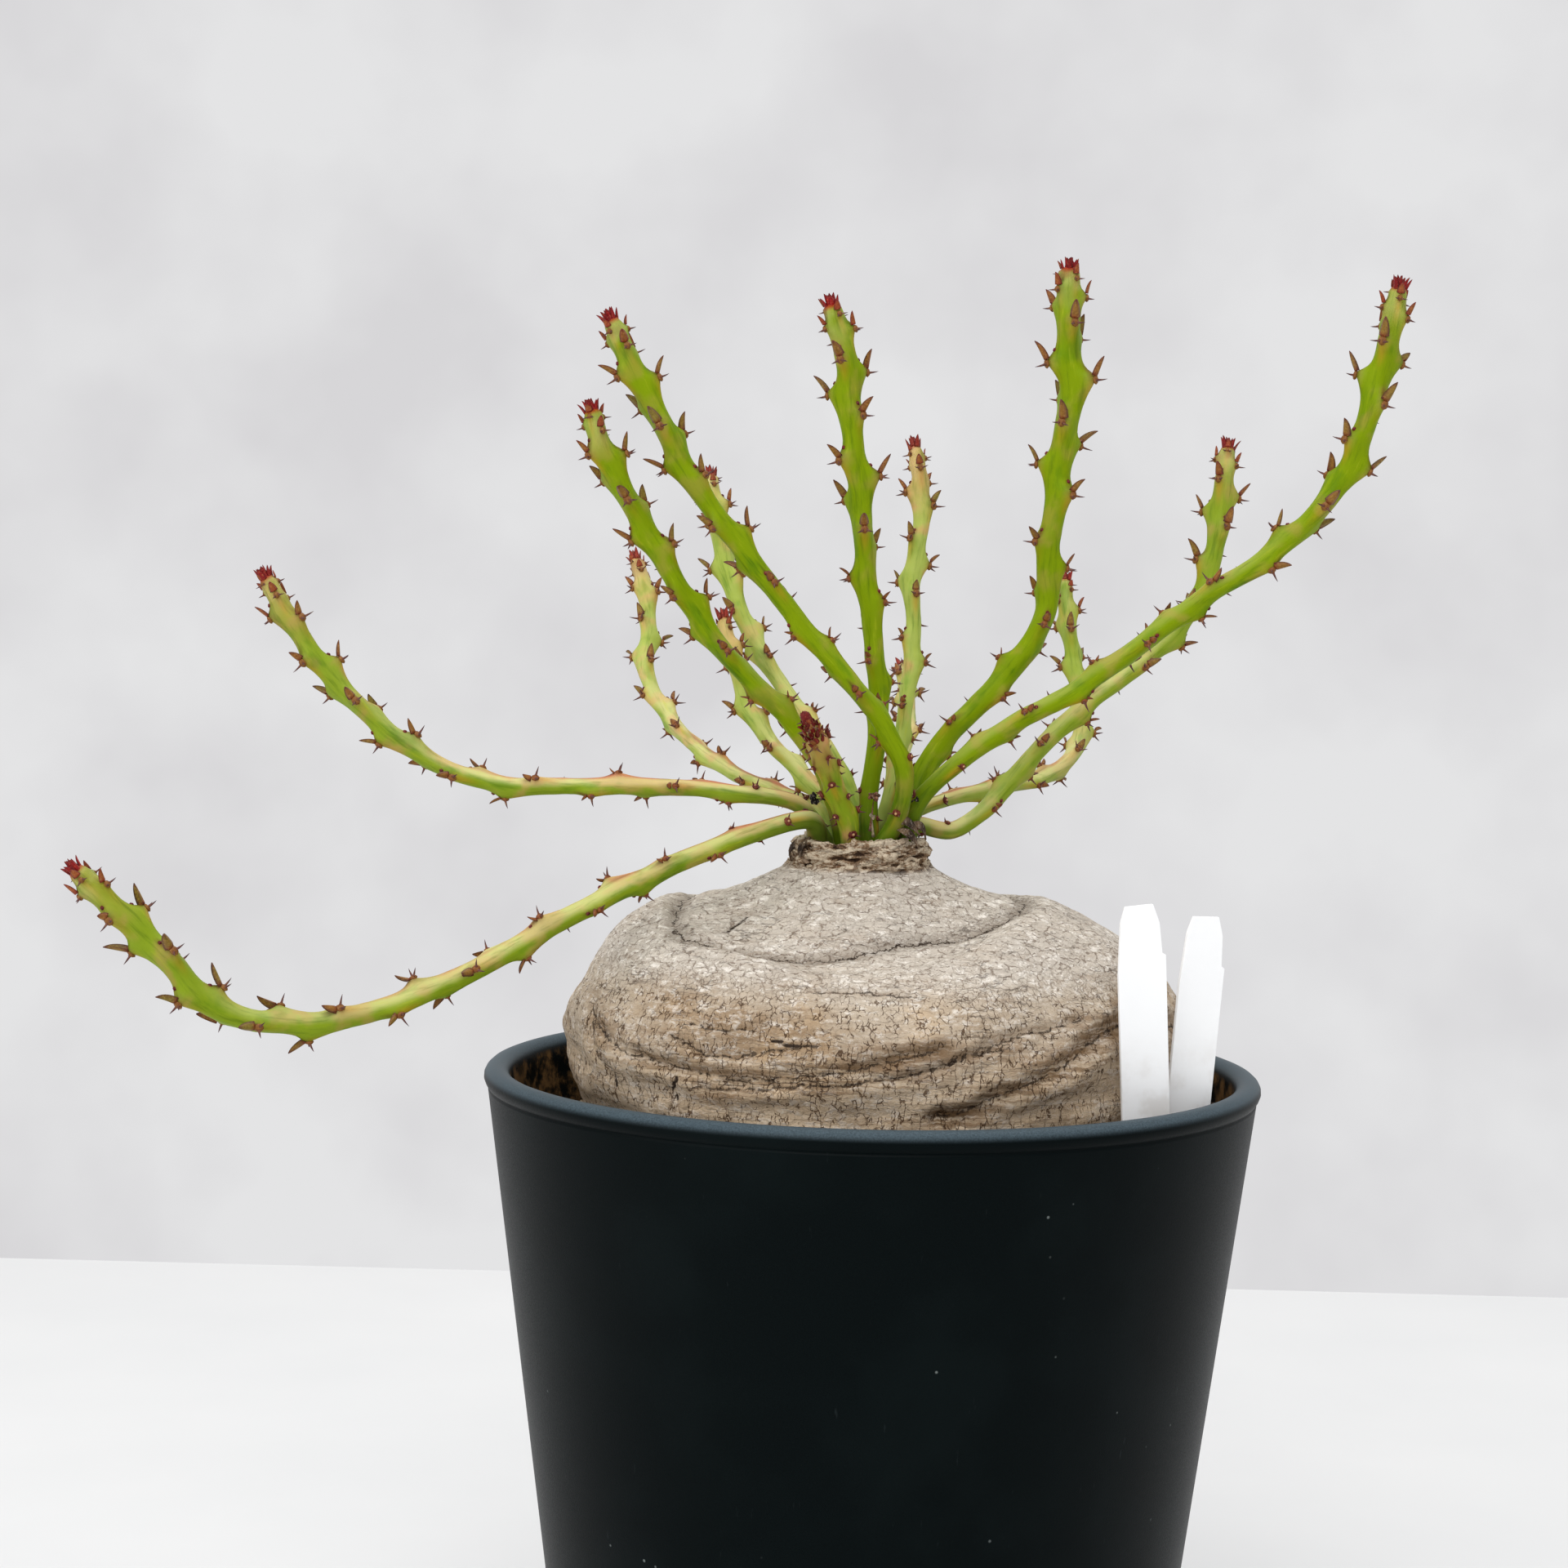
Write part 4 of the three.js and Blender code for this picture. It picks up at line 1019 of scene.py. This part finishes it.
def make_skin(stem, look):
    turn = circle(STEM.around)
    radius = stem.radius(stem.along, turn)
    across, over = np.cos(turn)[None, :, None], np.sin(turn)[None, :, None]
    out = across * stem.normals[:, None] + over * stem.binormals[:, None]
    rings = stem.places[:, None] + out * radius[..., None]
    wander = cloud(rings, 5.0, 3, 11.7)
    below, share = (stem.length - stem.along)[:, None], (stem.along / stem.length)[:, None]
    rings = rings + out * (0.1 * wander * ease(0, 4, below))[..., None]
    hump = np.clip((radius / stem.girth - stem.core(stem.along)[:, None]) / HUMP.height, 0, 1.2)
    level = np.sqrt(1 - np.clip(stem.tangents[:, 2], -1, 1) ** 2)[:, None]
    # Painted light: the upper side of level stems turns paler, weaker towards the tip and on greener stems
    painted_top_light = ease(-0.15, 0.6, out[..., 2] + 0.15 * wander) * ease(0.6, 0.88, level) * ease(0.95, 0.5, share)
    painted_top_light = painted_top_light * min(1, 0.25 + 6 * stem.pale)
    ridge = ease(0.84, 0.99, out[..., 2] + 0.06 * wander) * ease(0.5, 0.8, level)
    dark_line, amber = leaf_marks(stem, turn)
    # The pink blush leans towards that painted-lit upper side
    blushing = (0.1 + stem.blush) * ease(0.1, 0.6, wander + 0.4 * painted_top_light) * 0.7
    fading = (0.35 + 0.5 * stem.pale) * ease(10, 2.5, below) * ease(-0.5, 0.6, wander + 0.3)
    coats = [
        (GREEN.pale, np.clip(stem.pale * (0.8 + 0.4 * wander), 0, 1)),
        # Painted highlight: paler tops of the tubercles
        (GREEN.pale, 0.35 * ease(0.35, 1.0, hump)),
        # Painted light on the upper side
        (GREEN.cream, 0.8 * painted_top_light),
        (RED.rose, 0.8 * ridge * ease(0.8, 0.35, share)),
        (BROWN.amber, np.clip(0.6 * amber, 0, 0.7)),
        (RED.pink, np.clip(blushing, 0, 0.8)),
        (GREEN.cream, fading),
        (RED.pink, np.clip(stem.blush * 0.8 * ease(22, 8, below) - 0.1, 0, 1)),
        (RED.rust, 0.6 * ease(7, 1, below) * ease(0.0, 0.5, wander)),
        (RED.line, np.clip(dark_line, 0, 0.9)),
        (RED.crimson, ease(1.6, 0.4, below)),
    ]
    tint = mixed(GREEN.foot, GREEN.skin, ease(0.0, 0.2, share))
    for tone, amount in coats:
        tint = mixed(tint, tone, amount)
    lay = turned(STEM.texture_radius, stem.along[:, None], turn) + 40 * random.uniform(0, 1, 3)
    closed_piece(stem.name + "_skin", rings, look, "stem", (stem.name,), tint=tint, lay=lay)


# Leaves, spines, shields, scars and tips

BOX_MARGIN = 0.1
SLANTED = (0.3, 0.2, 0.9)
SPINE_TINTS = (BROWN.spine, BROWN.spine_tip)


def within_box(root, forward, length):
    """The length, cut short where a pointed thing would leave the frame's own box."""
    reach = root + forward * length
    low, high = np.array(CAD_BOX) / MM + np.array([[BOX_MARGIN], [-BOX_MARGIN]])
    over = np.maximum(reach - high, low - reach)
    axis = int(np.argmax(over))
    if over[axis] <= 0:
        return length
    return max(0.5, length - over[axis] / max(0.3, abs(forward[axis])))


def add_leaf(heap, root, along, outward, size, lean, tints):
    """A keeled, pointed leaf that curls outward; tints are its foot, its middle, and its tip and edges."""

    def towards(angle):
        return along * math.cos(angle) + outward * math.sin(angle)

    side = np.cross(along, outward)
    bend = random.uniform(*LEAF.curl)
    length = within_box(root, towards(lean + bend / 2), size.length)
    centre, rings, colours = root, [], []
    for i, share in enumerate(LEAF_CUTS):
        angle = lean - 0.1 + bend * share**1.8
        if i:
            centre = centre + towards(angle) * (length / (len(LEAF_CUTS) - 1))
        half = side * size.width / 2 * (1 - share) ** 0.85 * (0.92 + 0.7 * share)
        deep = towards(angle - math.pi / 2) * size.thick * (1 - share) ** 0.75 * (0.75 + 0.9 * share)
        rings.append(centre + LEAF_SECTION[:, :1] * half + LEAF_SECTION[:, 1:] * deep)
        colour = mixed(tints[0], tints[1], min(1, share * 4))
        colour = mixed(colour, tints[2], ease(0.6, 1, share))
        colours.append(mixed(colour, tints[2], 0.75 * ease(0.45, 1, np.abs(LEAF_SECTION[:, 0]))))
    heap.add(rings, np.array(colours))


def add_spine(heap, root, forward, length, radius, tints, sag=0.12):
    """A tapered, slightly curved thorn; tints are its foot and its tip."""
    length = within_box(root, forward, length)
    across = unit(np.cross(forward, SLANTED))
    over = np.cross(forward, across)
    rings, colours = [], []
    for share in SPINE.cuts:
        centre = root + forward * length * share - over * sag * length * share**2
        size = radius * (1 if share else SPINE.foot) * (1 - share) ** 0.7
        rings.append(oval(centre, size * across, size * over, SPINE.sides))
        colours.append(mixed(*tints, min(1, 1.6 * share)))
    heap.add(rings, np.array(colours)[:, None])


def add_bead(heap, centre, up, side, sizes, tint, sides=8, rows=5):
    """An ellipsoid with its axes along up, side and across; sizes are its half lengths."""
    across = np.cross(up, side)
    rings = []
    for level in np.sin(np.linspace(-1.35, 1.35, rows)):
        reach = math.sqrt(1 - level * level)
        first, second = side * sizes[1] * reach, across * sizes[2] * reach
        rings.append(oval(centre + up * sizes[0] * level, first, second, sides))
    heap.add(rings, tint)


def add_scar(heap, skin, outward, tangent):
    """The dry mark of a fallen leaf: a dark shield with a cream centre, and the stubs of its spines."""
    side = np.cross(tangent, outward)
    size = random.uniform(0.9, 1.35)
    dark = mixed(RED.dark, RED.rust, random.uniform(0, 0.5))
    add_bead(heap, skin - outward * 0.1, outward, tangent, np.array([0.34, 0.62, 0.72]) * size, dark, 9, 5)
    lift = outward * 0.2 * size + tangent * random.uniform(-0.1, 0.25)
    add_bead(heap, skin + lift, outward, tangent, (0.16, 0.26 * size, 0.24 * size), BROWN.scar, 7, 4)
    for hand in (-1, 1):
        away = unit(outward * 0.75 + hand * side * random.uniform(0.6, 0.9) - tangent * 0.25)
        root = skin + hand * side * 0.4 * size - tangent * 0.25
        add_spine(heap, root, away, random.uniform(0.7, 1.4) * size, 0.2, (dark, BROWN.spine_tip))
    if random.random() < 0.45:
        away = unit(outward + tangent * random.uniform(0.6, 1.2) + 0.3 * side * random.normal())
        add_spine(heap, skin + tangent * 0.3, away, random.uniform(0.7, 1.2), 0.26, (dark, RED.dark))


def add_growth(heap, stem, t, skin, outward, tangent):
    """One tubercle's leaf, with the shield under it, its two spines and often a bud above it."""
    side = np.cross(tangent, outward)
    redness = float(ease(14, 2, t.below))
    dying = float(ease(0.74, BARE_SHARE + 0.08, t.along / stem.length)) * random.uniform(0.7, 1.15)
    scale = (0.42 + 0.58 * t.grown) * (1 - 0.62 * dying) * random.uniform(0.86, 1.1)
    scale *= min(1.06, (stem.girth / 0.95) ** 1.7)
    dry = random.random() * (1 - 0.8 * dying)
    middle = mixed(mixed(BROWN.leaf, BROWN.olive, dry), RED.rust, 0.6 * dying)
    tints = (
        mixed(RED.rust, RED.crimson, 0.5 * redness),
        mixed(middle, RED.crimson, 0.6 * redness),
        mixed(BROWN.leaf_edge, RED.crimson, 0.35 * redness),
    )
    size = Facts(
        length=LEAF.length * scale, width=LEAF.width * (0.55 + 0.45 * scale), thick=LEAF.thick * scale,
    )
    lean = LEAF.lean * (0.4 + 0.6 * t.grown) + random.normal(0, 0.12)
    skew = unit(outward + 0.12 * random.normal() * side)
    add_leaf(heap, skin - outward * 0.35 + tangent * 0.35, tangent, skew, size, lean, tints)
    shield = skin - outward * 0.28 - tangent * 0.5
    broad = (0.6 + 0.4 * t.grown) * (1 - 0.2 * dying)
    shield_tint = mixed(RED.rust, BROWN.olive, 0.3 - 0.2 * dying)
    add_bead(heap, shield, outward, tangent, (0.45, 0.95 * broad, 0.8 * broad), shield_tint)
    for hand in (-1, 1):
        sideways = hand * side * random.uniform(0.55, 0.8)
        forward = unit(outward * 0.8 + sideways - tangent * random.uniform(0.05, 0.3))
        root = shield + outward * 0.2 + hand * side * 0.35 - tangent * 0.1
        length = SPINE.length * (0.6 + 0.4 * t.grown) * random.uniform(0.85, 1.1)
        add_spine(heap, root, forward, length, SPINE.radius * (0.7 + 0.3 * t.grown), SPINE_TINTS)
    if t.grown > 0.6 and random.random() < 0.6:
        bud = stem.surface(t.along + 1.7, t.turn) - outward * 0.1
        add_bead(heap, bud, outward, tangent, (0.42, 0.5, 0.42), RED.dark * random.uniform(1, 1.8), 7, 4)


def add_tip(heap, stem):
    """The upright red leaves at the growing end, and a longer dry brush of them on the scarred stem."""
    place, tangent, normal, binormal = stem.at(stem.length)
    brush = BRUSH[stem.scarred]
    fresh = mixed(mixed(RED.crimson, RED.rust, 0.55 * stem.pale), RED.dark, brush.dark)
    add_bead(heap, place - tangent * 0.6, tangent, normal, (1.7, 1.05, 1.05), fresh * 0.8, 10, 6)
    for k in range(brush.leaves):
        turn = k * GOLDEN + stem.length
        outward = normal * math.cos(turn) + binormal * math.sin(turn)
        share = k / (brush.leaves - 1)
        size = Facts(length=(1.6 + 0.9 * share) * random.uniform(0.85, 1.15), width=1.35, thick=0.5)
        root = place + outward * (0.2 + 1.05 * share) - tangent * (0.1 + brush.spread * share)
        if stem.scarred:
            root = stem.surface(stem.length - 0.1 - brush.spread * share, turn, -0.15)
        tint = fresh * random.uniform(0.65, 1.15)
        tints = (mixed(tint, RED.rust, 0.4 * share), tint, mixed(tint, RED.dark, 0.6))
        add_leaf(heap, root, tangent, outward, size, 0.5 * share - 0.1, tints)


def make_growth(stem, look):
    heap = Heap()
    for t in stem.tubercles:
        place = (stem.surface(t.along, t.turn), stem.outward(t.along, t.turn), stem.at(t.along)[1])
        if t.bare > 0.5 or (stem.scarred and t.below > 7):
            add_scar(heap, *place)
        else:
            add_growth(heap, stem, t, *place)
    add_tip(heap, stem)
    heap.finish(stem.name + "_growth", look, "stem", stem.name)


# Crown: curled bark flakes, bark straps and dried flower heads among the feet of the stems

FLAKES = Facts(
    count=110, heights=(38.2, 43.6), rim_from=42.5, below_rim=12.9, on_rim=(11.6, 12.8),
    lengths=(1.6, 4.6), widths=(0.5, 1.2), flat=0.5, thick=0.1, cup=0.12,
)
FLAKE_TINTS = (shade(104, 74, 50), shade(222, 206, 180))
DRIED = [
    Facts(head=(-11.7, -11, 186.7), foot=(-8.2, -9.6, 186.4), beads=16, size=1.3, tint=shade(22, 16, 15)),
    Facts(head=(7.4, -8.5, 186.9), foot=(5.4, -7.8, 185.6), beads=7, size=0.7, tint=shade(22, 16, 15)),
    Facts(head=(-0.6, -9.4, 187.2), foot=(-1.2, -8.2, 180.6), beads=14, size=1.1, tint=shade(124, 84, 62)),
    Facts(head=(-0.9, -9.9, 183.2), foot=(-0.6, -8.6, 179.6), beads=8, size=0.8, tint=shade(146, 132, 108)),
]
STRAPS = [
    [(3.4, -9.4, 182.4), (5.2, -10, 182.8), (6.8, -9.6, 181.6), (8.2, -8.6, 180)],
    [(4, -9.8, 181.2), (5.6, -10.8, 180.6), (7.2, -10.4, 179.2), (8, -9.6, 177.8)],
    [(6.8, -8.8, 182.2), (8, -7.8, 181.8), (9, -6.4, 180.6), (9.4, -5.4, 179)],
    [(-13.4, -4.6, 178.6), (-14.8, -5, 178), (-16.4, -4.2, 176), (-16.2, -3.2, 174.2)],
    [(-12.6, -6.8, 179), (-13.8, -8, 177.6), (-14.4, -8, 175.8), (-14, -7.4, 174.4)],
]
STRAP = Facts(step=0.5, flat=0.4, thick=0.16, cup=0.35)
STRAP_TINTS = (shade(52, 38, 30), shade(122, 100, 78))


def scrap_ring(middle, sideways, outward, half, flat, thick, cup):
    """The six-cornered section of a thin scrap of bark, flat over that share and cupped towards its edges."""
    section = [(-1, 0), (-flat, 1), (flat, 1), (1, 0), (flat, -1), (-flat, -1)]
    return [middle + sideways * half * a + outward * (thick * b + cup * a * a) for a, b in section]


def add_flake(heap):
    """A thin curled scrap that sticks out of the collar."""
    angle, height = random.uniform(0, TAU), random.uniform(*FLAKES.heights)
    radius = FLAKES.below_rim if height < FLAKES.rim_from else random.uniform(*FLAKES.on_rim)
    place = crown_points(angle, radius, height)
    lean = np.array([math.cos(angle), math.sin(angle), random.uniform(-0.2, 0.5)])
    across = unit(np.array([-math.sin(angle), math.cos(angle), random.normal(0, 0.25)]))
    tint = mixed(*FLAKE_TINTS, random.uniform(0, 1))
    length = random.uniform(*FLAKES.lengths)
    curl = random.uniform(-0.35, 0.35) - 0.02 * length**2
    centre, out = place + lean * random.uniform(0.1, 0.5), unit(lean)
    width = random.uniform(*FLAKES.widths)
    down = unit(np.cross(across, out))
    rings, colours = [], []
    for share in np.linspace(-1, 1, 7):
        half = width / 2 * math.sqrt(max(0.02, 1 - share**2 * 0.9))
        middle = centre + across * share * length / 2 + out * curl * share**2
        rings.append(scrap_ring(middle, down, out, half, FLAKES.flat, FLAKES.thick, FLAKES.cup))
        colours.append(tint * (1 + 0.25 * abs(share)))
    heap.add(rings, np.array(colours)[:, None])


def add_strap(heap, path):
    """A longer strip of bark that hangs over the collar."""
    places, _ = curve_through(path, STRAP.step)
    last = len(places) - 1
    rings, colours = [], []
    for i, place in enumerate(places):
        forward = unit(places[min(i + 1, last)] - places[max(i - 1, 0)])
        across = unit(np.cross(forward, unit(np.array([place[0] - CROWN_X, place[1], 3.0]))))
        half = 0.75 * math.sin(math.pi * min(0.97, i / last + 0.1)) + 0.15
        over = np.cross(across, forward)
        rings.append(scrap_ring(place, across, over, half, STRAP.flat, STRAP.thick, STRAP.cup * half))
        colours.append(mixed(*STRAP_TINTS, 0.5 + 0.5 * math.sin(9 * i / last)))
    heap.add(rings, np.array(colours)[:, None])


def add_dried_head(heap, dried):
    """A dried flower: a stalk with a knot of small beads."""
    head, foot = np.array(dried.head), np.array(dried.foot)
    stalk = np.linalg.norm(head - foot) * 1.02
    add_spine(heap, foot, unit(head - foot), stalk, 0.32, (dried.tint * 1.6, dried.tint), 0)
    for _ in range(dried.beads):
        away = unit(random.normal(0, 1, 3))
        size = dried.size * random.uniform(0.3, 0.5)
        centre = head + away * dried.size * random.uniform(0.3, 0.8)
        side = unit(np.cross(away, [0.1, 0.2, 1]))
        tint = dried.tint * random.uniform(0.6, 1.7)
        add_bead(heap, centre, away, side, (size, size * 0.8, size * 0.8), tint, 6, 4)


def make_crown(look):
    heap = Heap()
    for _ in range(FLAKES.count):
        add_flake(heap)
    for path in STRAPS:
        add_strap(heap, path)
    for dried in DRIED:
        add_dried_head(heap, dried)
    heap.finish("crown_bark", look, "bark")


# Studio: the floor, the backdrop, the lights and the camera

FLOOR_CORNERS = [(-2.5, -2.5, 0), (2.5, -2.5, 0), (2.5, 0.42, 0), (-2.5, 0.42, 0)]
FLOOR_Z = -0.0002
LIGHTS = {
    "key": Facts(at=(-0.15, -1.0, 1.1), aim=(0, 0, 0.15), size=1.0, power=9.5),
    "fill": Facts(at=(-1.1, -0.7, 0.5), aim=(0, 0, 0.15), size=0.8, power=3),
    "top": Facts(at=(0.1, 0.3, 1.3), aim=(0, 0, 0.2), size=0.8, power=5),
}
CAMERA = Facts(
    at=Vector((0, -611.7, 227.8)) * MM, down=math.radians(3.66), roll=math.radians(1.09),
    left=math.radians(1.68), lens=73.24, sensor=36,
)


def make_floor():
    mesh = bpy.data.meshes.new("floor")
    mesh.from_pydata(FLOOR_CORNERS, [], [(0, 1, 2, 3)])
    mesh.materials.append(floor_look())
    floor = bpy.data.objects.new("floor", mesh)
    floor.location.z = FLOOR_Z
    bpy.context.scene.collection.objects.link(floor)


def make_wall():
    """A softly clouded grey all round."""
    world = bpy.data.worlds.new("studio")
    bpy.context.scene.world = world
    world.use_nodes = True
    wall = Nodes(world.node_tree)
    around = wall.node("TexCoord", {}, "Generated")
    cloudy = wall.node("TexNoise", {"Vector": around, "Scale": 11, "Detail": 4}, "Fac")
    share = wall.node("MapRange", {"Value": cloudy, "From Min": 0.35, "From Max": 0.62})
    wall.plug(wall.tree.nodes["Background"].inputs["Color"], wall.blend(share, WALL.grey, WALL.white))


def make_lights():
    for name, facts in LIGHTS.items():
        light = bpy.data.lights.new(name, "AREA")
        light.size, light.energy = facts.size, facts.power
        lamp = bpy.data.objects.new(name, light)
        lamp.location = facts.at
        lamp.rotation_euler = (Vector(facts.aim) - Vector(facts.at)).to_track_quat("-Z", "Y").to_euler()
        bpy.context.scene.collection.objects.link(lamp)


def make_camera():
    view = bpy.data.cameras.new("camera")
    view.lens, view.sensor_width = CAMERA.lens, CAMERA.sensor
    camera = bpy.data.objects.new("camera", view)
    upright = Matrix.Rotation(CAMERA.left, 4, "Z") @ Matrix.Rotation(math.pi / 2 - CAMERA.down, 4, "X")
    camera.matrix_world = Matrix.Translation(CAMERA.at) @ upright @ Matrix.Rotation(CAMERA.roll, 4, "Z")
    bpy.context.scene.collection.objects.link(camera)
    bpy.context.scene.camera = camera


# Assembly

bpy.context.scene.view_settings.view_transform = "Standard"
make_floor()
make_wall()
make_lights()
make_camera()
make_pot(pot_look())
make_tuber(bark_look())
make_soil(grit_look())
make_labels(label_look())
make_crown(flake_look())
skin_look, leaf_look = stem_look(), growth_look()
for name, facts in STEMS.items():
    stem = Stem(name, *facts)
    make_skin(stem, skin_look)
    make_growth(stem, leaf_look)
